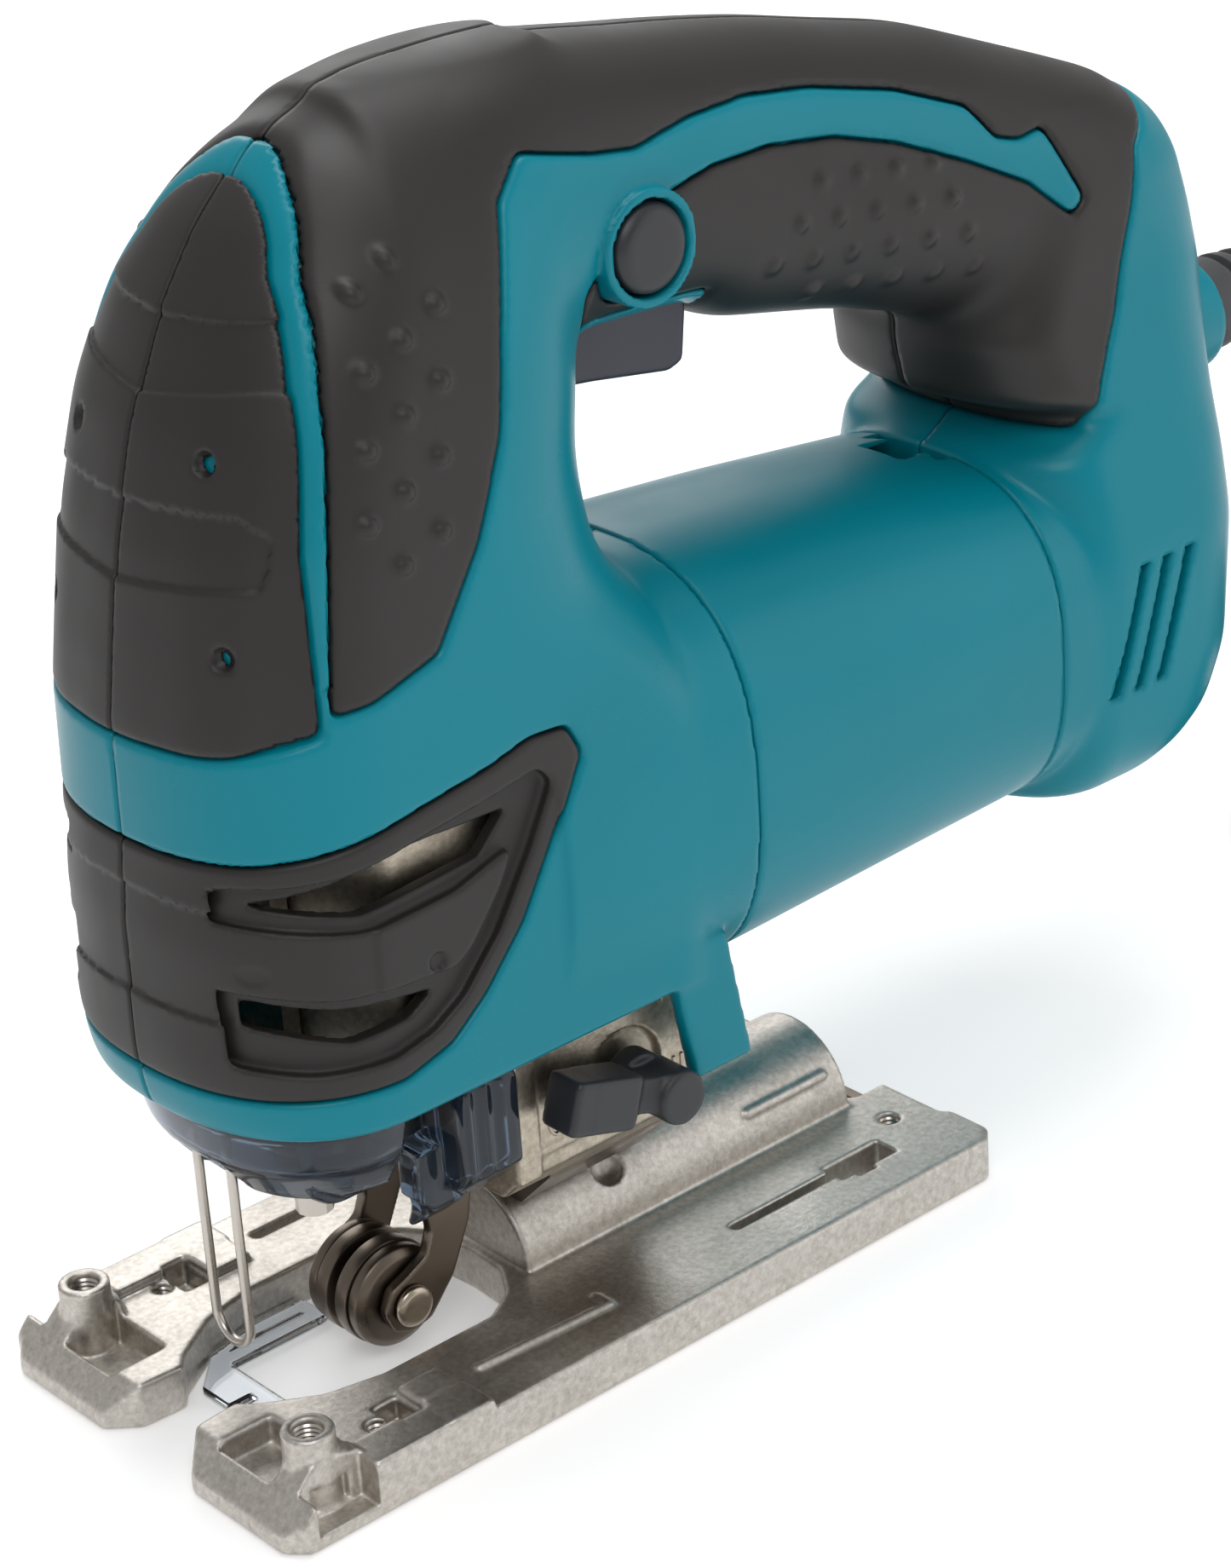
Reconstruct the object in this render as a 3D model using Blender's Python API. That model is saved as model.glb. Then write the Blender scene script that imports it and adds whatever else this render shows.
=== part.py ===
"""An electric jigsaw with a D-handle, as an assembly of separate pieces.

Lengths in this file are millimetres until finish() scales each piece to metres. X runs to the rear from the
front edge of the base, Y to the tool's right, Z up from the sole of the base.
"""
import math

import bmesh
import bpy
import numpy as np
from mathutils import Matrix, Vector

# Driving dimensions
MM = 0.001
ORIGIN_X = 121.5  # the row's origin, behind the base's front edge
GAP = 0.3  # clearance between touching pieces
PAD_GAP = 0.5  # clearance round a pad's edge
MOTOR_Z = 88.0  # height of the motor's axis
GEAR_Z = 116.0  # height of the drive gear's axis
PLUNGER_X = 38.0  # the blade's line of travel
CRANK = 13.0  # half the stroke
PAD_DEPTH = 1.8  # thickness of the rubber pads
WALL = 4.6  # housing wall, pads included
SEAM_1, SEAM_2 = 104.0, 176.0  # the barrel's two seams
BASE_LENGTH, BASE_HALF = 152.0, 38.4
RIDGE_R, RIDGE_Z = 13.0, 8.0  # the base's half-round saddle and its tilt axis
PLATE_Z = 8.0  # top of the base plate
ROLLER_X, ROLLER_Z, ROLLER_R = 46.5, 11.0, 9.0
BUTTON = (98, 176)  # the lock button's axis
CORD_R = 4.0
CORD_Z = 122.0  # height of the cord's outlet
COIL_X, COIL_Y = 317.0, -26.0
COIL_OUTER, COIL_INNER, COIL_TOP = 58.0, 38.0, 30.0
PLUG_Y = COIL_Y + COIL_OUTER - CORD_R  # where the last turn leaves the coil towards the rear

TEAL = ((0.0, 0.21, 0.26, 1), 0.42, 0.0)
RUBBER = ((0.03, 0.03, 0.03, 1), 0.6, 0.0)
BLACK = ((0.02, 0.02, 0.022, 1), 0.45, 0.0)
CAST = ((0.42, 0.40, 0.36, 1), 0.45, 1.0)
STEEL = ((0.42, 0.40, 0.38, 1), 0.3, 1.0)
DARK_STEEL = ((0.10, 0.09, 0.08, 1), 0.4, 1.0)
SMOKE = ((0.08, 0.10, 0.13, 1), 0.1, 0.0)
CLEAR = ((0.9, 0.92, 0.95, 1), 0.1, 0.0)
COPPER = ((0.72, 0.32, 0.16, 1), 0.35, 1.0)
BRASS = ((0.7, 0.5, 0.2, 1), 0.35, 1.0)
CARBON = ((0.03, 0.03, 0.03, 1), 0.7, 0.0)
WHITE = ((0.8, 0.8, 0.78, 1), 0.5, 0.0)

# Side profiles, as (height, distance from the base's front edge) or (distance, height)
HEAD_FRONT = [(58, 10.5), (62, 8.6), (70, 7.6), (91, 8), (104, 9.8), (122, 10.3), (132, 12), (149, 15),
              (166, 20), (180, 26.5), (192, 35), (200, 44), (204.5, 54), (206.3, 66)]
HEAD_REAR = [(58, 103.8), (112, 103.8), (120, 101), (126, 95), (134, 91), (150, 89), (160, 91), (206.3, 90)]
HEAD_HALF = [(58, 33), (104, 33.5), (122, 33), (150, 32.5), (165, 31.5), (175, 30), (185, 26.5), (192, 22.5),
             (198, 17.5), (203, 11), (206.3, 4)]
REAR_FRONT = [(54, 176.2), (117, 176.2), (121, 184), (124, 184), (127, 173), (138, 170.5), (150, 175), (172, 185)]
REAR_BACK = [(54, 214), (58, 222), (64, 227), (75, 230.5), (100, 232), (142, 232), (152, 230), (160, 226), (167, 219),
             (172, 208)]
REAR_HALF = [(54, 25), (58, 29), (64, 31.5), (75, 33), (98, 33), (110, 30.5), (120, 27.5), (130, 25.5), (142, 24),
             (160, 22), (167, 19), (172, 13)]
HANDLE_TOP = [(56, 204.5), (70, 206.2), (80, 206.6), (90, 206.2), (100, 204.8), (110, 203), (125, 200.7),
              (141, 197.7), (157, 193.7), (174, 189.7), (192, 182.7), (210, 175.7), (222, 169)]
HANDLE_UNDER = [(56, 160), (88, 160), (118, 158.5), (124, 154), (150, 148.5), (170, 142.5), (190, 137), (222, 140)]
HANDLE_HALF = [(56, 28), (75, 27), (90, 23.5), (105, 21.5), (150, 21), (180, 22), (205, 23), (222, 18)]
BARREL_TOP = [(60, 124), (104, 124), (140, 121), (176, 117), (214, 112)]
BARREL_UNDER = [(60, 52), (104, 52), (176, 54.5), (214, 57)]
BARREL_HALF = [(60, 34), (104, 35), (176, 33), (214, 31)]

# Outlines of the rubber pieces in side view, as (distance, height)
STRIP = [(25.5, 120), (26, 127), (29, 150), (33, 172), (37, 186), (43, 197), (50, 205.5), (56, 215)]
GRIP_EDGE = [(34, 127.5), (46, 131), (55, 145), (61, 159), (64, 173), (70, 190), (76, 195.5), (90, 192),
             (99, 190.5), (112, 192), (124, 192), (138, 190), (156, 185.5), (170, 180), (175, 174), (180, 172.5),
             (186, 173), (193, 160), (190, 157.5), (181, 165), (168, 171.5), (153, 178), (140, 182), (126, 184), (114, 184),
             (101, 181.5), (92, 177), (87, 171), (88, 165), (118, 163), (121.5, 150), (121.5, 130), (164, 130),
             (168, 122.6), (190, 121), (199, 140), (206, 165), (225, 176), (225, 215)]
VENT_EDGE = [(0, 104), (15, 104.8), (26, 106.5), (40, 108.7), (53, 110.5), (61, 112.5), (68, 112), (70.5, 107),
             (64, 96), (57, 84), (49, 75), (42, 69.5), (33, 67), (14, 67.5), (0, 68.5)]
UPPER_SLOT = [(15, 98.5), (29, 95), (51, 96.5), (57, 102.5), (34, 103)]
LOWER_SLOT = [(14, 79), (26, 75), (36, 75.5), (41, 78.5), (24, 81), (14, 83.5)]


def clear_scene():
    for old in list(bpy.data.objects):
        bpy.data.objects.remove(old)


def new_object(name, mesh_builder):
    bmesh.ops.recalc_face_normals(mesh_builder, faces=mesh_builder.faces)
    mesh = bpy.data.meshes.new(name)
    mesh_builder.to_mesh(mesh)
    mesh_builder.free()
    shape = bpy.data.objects.new(name, mesh)
    bpy.context.scene.collection.objects.link(shape)
    return shape


def loft(rings):
    """A closed solid through rings that each hold the same number of points."""
    builder = bmesh.new()
    rows = [[builder.verts.new(point) for point in ring] for ring in rings]
    count = len(rows[0])
    for low, high in zip(rows, rows[1:]):
        for i in range(count):
            j = (i + 1) % count
            builder.faces.new((low[i], low[j], high[j], high[i]))
    builder.faces.new(rows[0])
    builder.faces.new(rows[-1])
    return new_object("shape", builder)


def prism(outline, axis, start, end):
    """An outline extruded along an axis; its points are the other two coordinates, in X, Y, Z order."""
    def point(pair, along):
        if axis == "x":
            return (along, pair[0], pair[1])
        return (pair[0], along, pair[1]) if axis == "y" else (pair[0], pair[1], along)
    return loft([[point(pair, along) for pair in outline] for along in (start, end)])


def box(x0, x1, y0, y1, z0, z1):
    return prism([(x0, y0), (x1, y0), (x1, y1), (x0, y1)], "z", z0, z1)


def circle(centre, radius, sides=24, start=0.0, sweep=2 * math.pi):
    turns = [start + sweep * i / sides for i in range(sides + (sweep < 6.28))]
    return [(centre[0] + radius * math.cos(a), centre[1] + radius * math.sin(a)) for a in turns]


def rod(axis, centre, radius, start, end, sides=14):
    return prism(circle(centre, radius, sides), axis, start, end)


def turned(axis, centre, profile, sides=18):
    """A turned solid through (position along the axis, radius) pairs, closed at both ends."""
    rings = []
    for along, radius in profile:
        ring = circle(centre, radius, sides)
        if axis == "x":
            rings.append([(along, a, b) for a, b in ring])
        elif axis == "y":
            rings.append([(a, along, b) for a, b in ring])
        else:
            rings.append([(a, b, along) for a, b in ring])
    return loft(rings)


def combined(shape, other, operation):
    """The first shape after a Boolean with the second, which is used up."""
    modifier = shape.modifiers.new("combine", "BOOLEAN")
    modifier.operation = operation
    modifier.solver = "MANIFOLD"  # the exact solver leaves open edges in the casing
    modifier.object = other
    graph = bpy.context.evaluated_depsgraph_get()
    mesh = bpy.data.meshes.new_from_object(shape.evaluated_get(graph))
    shape.modifiers.clear()
    shape.data = mesh
    bpy.data.objects.remove(other)
    return shape


def cut(shape, *others):
    for other in others:
        combined(shape, other, "DIFFERENCE")
    return shape


def join(shape, *others):
    for other in others:
        combined(shape, other, "UNION")
    return shape


def common(shape, other):
    return combined(shape, other, "INTERSECT")


def copy_of(shape):
    twin = bpy.data.objects.new("copy", shape.data.copy())
    bpy.context.scene.collection.objects.link(twin)
    twin.matrix_world = shape.matrix_world.copy()
    return twin


def tilted(shape, axis, degrees, centre):
    turn = Matrix.Rotation(math.radians(degrees), 4, axis)
    shape.data.transform(Matrix.Translation(centre) @ turn @ Matrix.Translation(-Vector(centre)))
    return shape


def mirrored(shape):
    """A copy on the tool's other side."""
    twin = copy_of(shape)
    twin.data.transform(Matrix.Diagonal((1, -1, 1, 1)))
    twin.data.flip_normals()
    return twin


def finish(shape, name, look, pivot=(0, 0, 0)):
    """Names a piece, colours it, scales it to metres and puts its origin on its pivot."""
    colour, roughness, metallic = look
    material = bpy.data.materials.new(name)
    material.use_nodes = True
    surface = material.node_tree.nodes["Principled BSDF"]
    surface.inputs["Base Color"].default_value = colour
    surface.inputs["Roughness"].default_value = roughness
    surface.inputs["Metallic"].default_value = metallic
    shape.name = name
    shape.data.name = name
    shape.data.materials.clear()
    shape.data.materials.append(material)
    shape.data.transform(Matrix.Scale(MM, 4) @ Matrix.Translation((-pivot[0], -pivot[1], -pivot[2])))
    shape.data.shade_smooth()
    shape.data.set_sharp_from_angle(angle=math.radians(35))
    shape.location = ((pivot[0] - ORIGIN_X) * MM if any(pivot) else -ORIGIN_X * MM, pivot[1] * MM, pivot[2] * MM)
    return shape


def read(profile, at):
    return float(np.interp(at, *zip(*profile)))


def superellipse(power, steps, start=0.0, end=0.5 * math.pi):
    """Points (cos, sin) of a superellipse's quarter, from the first axis to the second."""
    angles = [start + (end - start) * i / steps for i in range(steps + 1)]
    return [(abs(math.cos(a)) ** (2 / power), abs(math.sin(a)) ** (2 / power)) for a in angles]


# The casing: one outer shape, which an inset turns into its inner shapes

def column(front, rear, half, levels, nose, tail, inset):
    """An upright column whose plan has a rounded nose and a rounded tail."""
    rings = []
    for z in levels:
        x0, x1 = read(front, z) + inset, read(rear, z) - inset
        width = max(read(half, z) - inset, 0.8)
        near, far = min(nose, 0.45 * (x1 - x0)), min(tail, 0.45 * (x1 - x0))
        right = [(x0 + near * (1 - c), s * width) for c, s in superellipse(2.3, 5)]
        right += [(x1 - far * (1 - s), c * width) for c, s in superellipse(2.3, 4)]
        left = [(x, -y) for x, y in reversed(right[1:-1])]
        rings.append([(x, y, z) for x, y in right + left])
    return loft(rings)


def tube_shape(top, under, half, stations, power, inset):
    """A long rounded body along X."""
    rings = []
    for x in stations:
        z1, z0 = read(top, x) - inset, read(under, x) + inset
        width, middle, tall = read(half, x) - inset, 0.5 * (z0 + z1), 0.5 * (z1 - z0)
        arc = superellipse(power, 4)
        quarter = [(c * width, s * tall) for c, s in arc]
        upper = quarter + [(-y, z) for y, z in reversed(quarter[:-1])]
        ring = upper + [(-y, -z) for y, z in upper[1:-1]]
        rings.append([(x, y, middle + z) for y, z in ring])
    return loft(rings)


def head_shape(inset):
    levels = [59 + inset, 70, 104, 122, 150, 168, 182, 192, 200, 206]
    levels = [z for z in levels if z < 206.5 - inset]
    return column(HEAD_FRONT, HEAD_REAR, HEAD_HALF, levels, 26, 16, inset)


def rear_shape(inset):
    levels = [54 + inset, 62, 75, 100, 117, 124, 127, 142, 160, 172 - inset]
    return column(REAR_FRONT, REAR_BACK, REAR_HALF, levels, 16, 22, inset)


def casing(inset):
    """Head, handle and rear column in one, without the barrel between the seams."""
    shape = head_shape(inset)
    stations = [58, 75, 90, 105, 120, 126, 148, 170, 190, 208, 220]
    join(shape, tube_shape(HANDLE_TOP, HANDLE_UNDER, HANDLE_HALF, stations, 2.3, inset))
    join(shape, rear_shape(inset))
    for start, end in ((66, SEAM_1 - 0.5 * inset), (SEAM_2 + 0.5 * inset, 206)):
        join(shape, tube_shape(BARREL_TOP, BARREL_UNDER, BARREL_HALF, [start, end], 2.6, inset))
    return shape


def pad_region(kind, grow):
    """The side-view outline of a pad, grown all round by a clearance, as a prism over the left half."""
    if kind == "front":
        edge = [(x - 1.5 + grow, z) for x, z in STRIP[1:]]
        outline = [(0, 215), (0, 121.5 - grow), (14, 121.5 - grow), (25 + grow, 124.5 - grow)] + edge
    elif kind == "grip":
        edge = [(x + 1.5 - grow, z) for x, z in reversed(STRIP[1:])]
        outline = edge + offset_outline(GRIP_EDGE, grow)
    else:
        outline = offset_outline(VENT_EDGE, grow)
    return prism(outline, "y", -45, -GAP / 2 + (1 if grow else 0))


def offset_outline(points, grow):
    """The open outline moved outwards by a clearance; its points run with the inside on the left or right."""
    moved = []
    for i, point in enumerate(points):
        before, after = points[max(i - 1, 0)], points[min(i + 1, len(points) - 1)]
        dx, dz = after[0] - before[0], after[1] - before[1]
        size = math.hypot(dx, dz)
        turn = -1 if points is VENT_EDGE else 1
        moved.append((point[0] + turn * dz / size * grow, point[1] - turn * dx / size * grow))
    return moved


def half_space(side):
    near, far = GAP / 2 * side, 60 * side
    return box(-20, 280, min(near, far), max(near, far), -10, 230)


def build_casing():
    outer, under_pads = casing(0), casing(PAD_DEPTH + 2 * GAP)
    pad_core, cavity = casing(PAD_DEPTH), casing(WALL)
    join(cavity, barrel_bore(SEAM_1 - 40, SEAM_1 + 1), barrel_bore(SEAM_2 - 1, 212))
    shell = copy_of(outer)
    for kind in ("front", "grip", "vent"):
        left = pad_region(kind, PAD_GAP)
        skin = join(left, mirrored(left))
        cut(skin, copy_of(under_pads))
        cut(shell, skin)
    cut(shell, cavity)
    cut(shell, box(20, 98, -24.6, 24.6, 50, 70))  # the mouth that the gear housing fills
    for y in (-45, 20):  # windows behind the air slots
        cut(shell, prism(offset_slot(UPPER_SLOT, 1.5), "y", y, y + 25))
        cut(shell, prism(offset_slot(LOWER_SLOT, 1.5), "y", y, y + 25))
    for i in range(3):  # slanted air slots at the rear
        low, high = (188.5 + 5.6 * i, 75), (196 + 5.6 * i, 97)
        slot = [(low[0] - 0.8, low[1]), (low[0] + 0.8, low[1]), (high[0] + 0.8, high[1]), (high[0] - 0.8, high[1])]
        cut(shell, prism(slot, "y", -45, 45))
    cut(shell, box(86, 121, -8.4, 8.4, 140, 166))  # trigger mouth
    cut(shell, rod("y", BUTTON, 7.5, -40, 0))  # lock button hole
    join(shell, collar())
    cut(shell, rod("x", (0, CORD_Z), 7.2, 220, 260))
    leg = prism([(87, 43.5), (97, 42), (100, 56), (102, 64), (86, 64)], "y", -32.4, 32.4)
    cut(leg, box(70, 110, -29.6, 29.6, 30, 70))
    join(shell, leg)
    screws = [(66, 160), (83.4, 131), (160, 170), (214, 146), (214, 70)]
    for x, z in screws:
        cut(shell, rod("y", (x, z), 3.6, 8, 45, 8))
        boss = rod("y", (x, z), 6.0, -40, 40, 8)
        cut(boss, rod("y", (x, z), 1.9, -15, 30, 8), rod("y", (x, z), 3.6, 12, 45, 8))
        join(shell, common(boss, copy_of(under_pads)))
    finish(common(copy_of(shell), half_space(-1)), "housing_left", TEAL)
    finish(common(shell, half_space(1)), "housing_right", TEAL)
    for number, (x, z) in enumerate(screws, 1):
        screw = turned("y", (x, z), [(-12, 1.6), (12.3, 1.6), (12.3, 3.0), (15.5, 3.0)], 8)
        cut(screw, box(x - 2.5, x + 2.5, 14.5, 17, z - 0.5, z + 0.5))
        finish(screw, f"housing_screw_{number}", STEEL)
    for kind in ("front", "grip", "vent"):
        skin = common(copy_of(outer), pad_region(kind, 0))
        cut(skin, copy_of(pad_core))
        if kind == "grip":
            cut(skin, rod("y", BUTTON, 9.2, -40, 0))
        if kind == "vent":
            cut(skin, prism(UPPER_SLOT, "y", -45, 0), prism(LOWER_SLOT, "y", -45, 0))
        name = {"front": "front_pad", "grip": "grip", "vent": "vent_cover"}[kind]
        twin = mirrored(skin)
        finish(keep_largest(skin), name + "_left", RUBBER)
        finish(keep_largest(twin), name + "_right", RUBBER)
    for helper in (outer, under_pads, pad_core):
        bpy.data.objects.remove(helper)


def offset_slot(outline, grow):
    centre = [sum(p[k] for p in outline) / len(outline) for k in (0, 1)]
    return [(x + math.copysign(grow, x - centre[0]), z + math.copysign(grow, z - centre[1])) for x, z in outline]


def keep_largest(shape):
    """Removes the crumbs that a cut leaves beside the piece itself."""
    builder = bmesh.new()
    builder.from_mesh(shape.data)
    left, groups = set(builder.verts), []
    while left:
        group, edge = set(), [left.pop()]
        while edge:
            vert = edge.pop()
            group.add(vert)
            for link in vert.link_edges:
                other = link.other_vert(vert)
                if other in left:
                    left.discard(other)
                    edge.append(other)
        groups.append(group)
    groups.sort(key=len)
    for group in groups[:-1]:
        bmesh.ops.delete(builder, geom=list(group), context="VERTS")
    builder.to_mesh(shape.data)
    builder.free()
    return shape


def barrel_bore(start, end):
    return rod("x", (0, MOTOR_Z), 29.5, start, end, 24)


def collar():
    return turned("x", (0, CORD_Z), [(226, 12), (236, 11.5), (243, 10)], 20)


def build_motor_housing():
    x0, x1 = SEAM_1 + GAP, SEAM_2 - GAP
    shape = tube_shape(BARREL_TOP, BARREL_UNDER, BARREL_HALF, [x0, 140, x1], 2.6, 0)
    finish(cut(shape, barrel_bore(x0 - 1, x1 + 1)), "motor_housing", TEAL)


# The mechanism

def build_gear_housing():
    block = prism([(-24, 61), (-24, 33.5), (-19.5, 29), (19.5, 29), (24, 33.5), (24, 61)], "x", 59, 96)
    nose = box(46, 60, -12, 12, 34, 61)
    upper = prism([(28, -15), (38, -27), (70, -27), (77, -20), (77, 20), (70, 27), (38, 27), (28, 15)], "z", 64.2, 146)
    neck = prism([(28, -15), (35, -23.8), (77, -23.8), (77, 23.8), (35, 23.8), (28, 15)], "z", 58.5, 66)
    join(block, nose, neck, upper, rod("z", (38.5, 0), 9.4, 145, 158, 20), rod("x", (0, MOTOR_Z), 13.5, 76, 86.5, 24))
    hollow = prism([(31, -13), (39.5, -25), (69, -25), (75, -19), (75, 19), (69, 25), (39.5, 25), (31, 13)],
                   "z", 66, 143)
    well = prism([(31, -13), (37, -21.5), (74, -21.5), (74, 21.5), (37, 21.5), (31, 13)], "z", 62, 67)
    cut(block, hollow, well, box(26, 34, -11, 11, 66, 140), rod("z", (38.5, 0), 8.6, 50, 64, 20))
    cut(block, rod("z", (38.5, 0), 6.9, 140, 160, 20), rod("x", (0, MOTOR_Z), 5.2, 70, 80))
    cut(block, rod("x", (0, MOTOR_Z), 11.3, 77.5, 90, 24), rod("x", (0, GEAR_Z), 4.3, 70, 80))
    cut(block, box(44, 64, -10.6, 10.6, 20, 45), rod("y", (57, 38), 2.4, -13, 13, 12))
    cut(block, box(62, 94, -17, 17, 40, 56))
    finish(cut(block, box(60, 95, -10, 10, 55, 59)), "gear_housing", CAST)
    cover = box(24.6, 27.7, -14.6, 14.6, 64, 144)
    finish(join(cover, box(24.6, 30.6, -10.6, 10.6, 66.5, 139.5)), "gear_cover", CAST)


def gear_outline(centre, teeth, root, tip):
    points = []
    for i in range(teeth):
        for part, radius in ((-0.3, root), (-0.14, tip), (0.14, tip), (0.3, root)):
            a = 2 * math.pi * (i + part) / teeth
            points.append((centre[0] + radius * math.cos(a), centre[1] + radius * math.sin(a)))
    return points


def build_gear_train():
    gear = prism(gear_outline((0, GEAR_Z), 46, 21.4, 22.8), "x", 58, 66)
    finish(cut(gear, rod("x", (0, GEAR_Z), 4.3, 50, 70)), "drive_gear", STEEL, (62, 0, GEAR_Z))
    axle = turned("x", (0, GEAR_Z), [(57.5, 4), (66.5, 4), (66.5, 6), (69, 6), (69, 4), (77, 4)], 16)
    finish(axle, "gear_axle", STEEL)
    pin = turned("x", (CRANK, GEAR_Z), [(50, 3), (57.7, 3)], 14)
    finish(pin, "crank_pin", STEEL, (62, 0, GEAR_Z))
    arc = [(GEAR_Z + 20 * math.sin(a), a) for a in np.radians(np.linspace(100, 260, 13))]
    weight = [(20 * math.cos(a), z) for z, a in arc]
    weight = prism(weight + [(-6, GEAR_Z - 12), (-6, GEAR_Z + 12)], "x", 53.6, 57.7)
    finish(weight, "counterweight", CAST, (62, 0, GEAR_Z))


def build_plunger():
    pivot = (38.5, 0, GEAR_Z)
    shape = rod("z", (38.5, 0), 4.5, 50, 166)
    yoke = box(41, 49.5, -21, 21, GEAR_Z - 9, GEAR_Z + 9)
    slot = prism([(y, z) for y, z in circle((CRANK, GEAR_Z), 3.3, 8, -math.pi / 2, math.pi)]
                 + [(y, z) for y, z in circle((-CRANK, GEAR_Z), 3.3, 8, math.pi / 2, math.pi)], "x", 44.6, 60)
    finish(cut(join(shape, yoke), slot), "plunger", STEEL, pivot)
    clamp = turned("z", (38.5, 0), [(36, 5.8), (38, 7.4), (49.7, 7.4)], 20)
    cut(clamp, box(34, 43, -0.9, 0.9, 30, 46))
    finish(clamp, "blade_clamp", DARK_STEEL, pivot)
    for name, low, high in (("lower", 66, 78), ("upper", 147, 157)):
        bush = turned("z", (38.5, 0), [(low, 6.5), (high, 6.5)], 20)
        finish(cut(bush, rod("z", (38.5, 0), 4.8, low - 1, high + 1, 20)), "plunger_bush_" + name, BRASS)


def build_motor():
    axis = (0, MOTOR_Z)
    pivot = (120, 0, MOTOR_Z)
    profile = [(58, 4.9), (69, 4.9), (69, 4), (92, 4), (112, 4), (112, 19), (150, 19), (150, 4), (190, 4)]
    shaft = turned("x", axis, profile, 20)
    finish(shaft, "armature", STEEL, pivot)
    blades = turned("x", axis, [(93, 9), (100, 9), (100, 27), (102.5, 27)], 20)
    cut(blades, rod("x", axis, 4.3, 90, 105))
    for i in range(8):
        blade = box(94, 101, -1.0, 1.0, MOTOR_Z + 7, MOTOR_Z + 26)
        join(blades, tilted(blade, "X", 45 * i, (0, 0, MOTOR_Z)))
    finish(blades, "fan", BLACK, pivot)
    commutator = turned("x", axis, [(156, 11), (172, 11)], 24)
    finish(cut(commutator, rod("x", axis, 4.3, 150, 180)), "commutator", COPPER, pivot)
    stator = turned("x", axis, [(108, 29), (154, 29)], 24)
    finish(cut(stator, rod("x", axis, 20, 100, 160, 24)), "stator", DARK_STEEL)
    for name, start, end, outer in (("front", 78, 86, 11), ("rear", 178, 186, 9.5)):
        ring = turned("x", axis, [(start, outer), (end, outer)], 20)
        finish(cut(ring, rod("x", axis, 4.3, start - 1, end + 1, 20)), name + "_bearing", STEEL)
    for name, side in (("left", -1), ("right", 1)):
        near, far = sorted((12 * side, 26 * side))
        holder = box(159.5, 169.5, near, far, MOTOR_Z - 5, MOTOR_Z + 5)
        inner, outer = sorted((11 * side, 23 * side))
        cut(holder, box(161.2, 167.8, inner, outer, MOTOR_Z - 3.5, MOTOR_Z + 3.5))
        finish(holder, "brush_holder_" + name, BRASS)
        near, far = sorted((11.3 * side, 22 * side))
        finish(box(161.5, 167.5, near, far, MOTOR_Z - 3.2, MOTOR_Z + 3.2), "brush_" + name, CARBON)


def build_front_fittings():
    front, rear = [(42, 21), (50, 14.5), (58, 13)], [(42, 60), (58, 60)]
    half = [(42, 20), (50, 25), (58, 27)]
    shape = column(front, rear, half, [42, 46, 50, 58], 24, 4, 0)
    inner_front = [(z + (2 if z == 42 else 0), x + 1.8) for z, x in front]
    hollow = column(inner_front, rear, [(z, y - 1.8) for z, y in half], [44, 47, 50, 60], 24, 4, 0)
    cut(shape, hollow, box(41, 70, -40, 40, 30, 70), rod("z", (38.5, 0), 9, 30, 60, 20))
    cut(shape, box(16.2, 21.8, -6, 6, 40, 49), rod("z", (28.5, -12), 1.9, 30, 60, 12), box(36, 50, -9, 9, 30, 60))
    finish(shape, "dust_cover", SMOKE)
    screw = turned("z", (28.5, -12), [(38.4, 3), (41.7, 3), (41.7, 1.6), (57, 1.6)], 12)
    finish(screw, "cover_screw", STEEL)
    route = [(23.4, 4.4, 70), (23.4, 4.4, 59.5), (22, 4.4, 56.8), (19, 4.4, 54)]
    route += [(19, 4.4 * math.cos(a), 17.5 + 4.4 * math.sin(a)) for a in np.radians(range(0, -91, -18))]
    route += [(x, -y, z) for x, y, z in reversed(route[:-1])]
    finish(tube(route, 0.8, 2), "wire_guard", STEEL)
    lever = prism([(-14, 27), (-26, 38), (-26, 55), (-14, 55)], "x", 48, 58.4)
    cut(lever, box(50, 52, -30, -24, 30, 60), box(54, 56, -30, -24, 30, 60))
    finish(lever, "blade_release_lever", SMOKE, (56.3, -24.4, 45))


def tube(route, radius, resolution):
    """A round bar along a route, as a curve turned into a mesh."""
    curve = bpy.data.curves.new("tube", "CURVE")
    curve.dimensions = "3D"
    curve.bevel_depth = radius
    curve.bevel_resolution = resolution
    curve.use_fill_caps = True
    line = curve.splines.new("POLY")
    line.points.add(len(route) - 1)
    for point, place in zip(line.points, route):
        point.co = (*place, 1)
    guide = bpy.data.objects.new("tube", curve)
    bpy.context.scene.collection.objects.link(guide)
    graph = bpy.context.evaluated_depsgraph_get()
    mesh = bpy.data.meshes.new_from_object(guide.evaluated_get(graph))
    bpy.data.objects.remove(guide)
    builder = bmesh.new()
    builder.from_mesh(mesh)
    bmesh.ops.remove_doubles(builder, verts=builder.verts, dist=1e-4)
    bpy.data.meshes.remove(mesh)
    return new_object("tube", builder)


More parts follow.
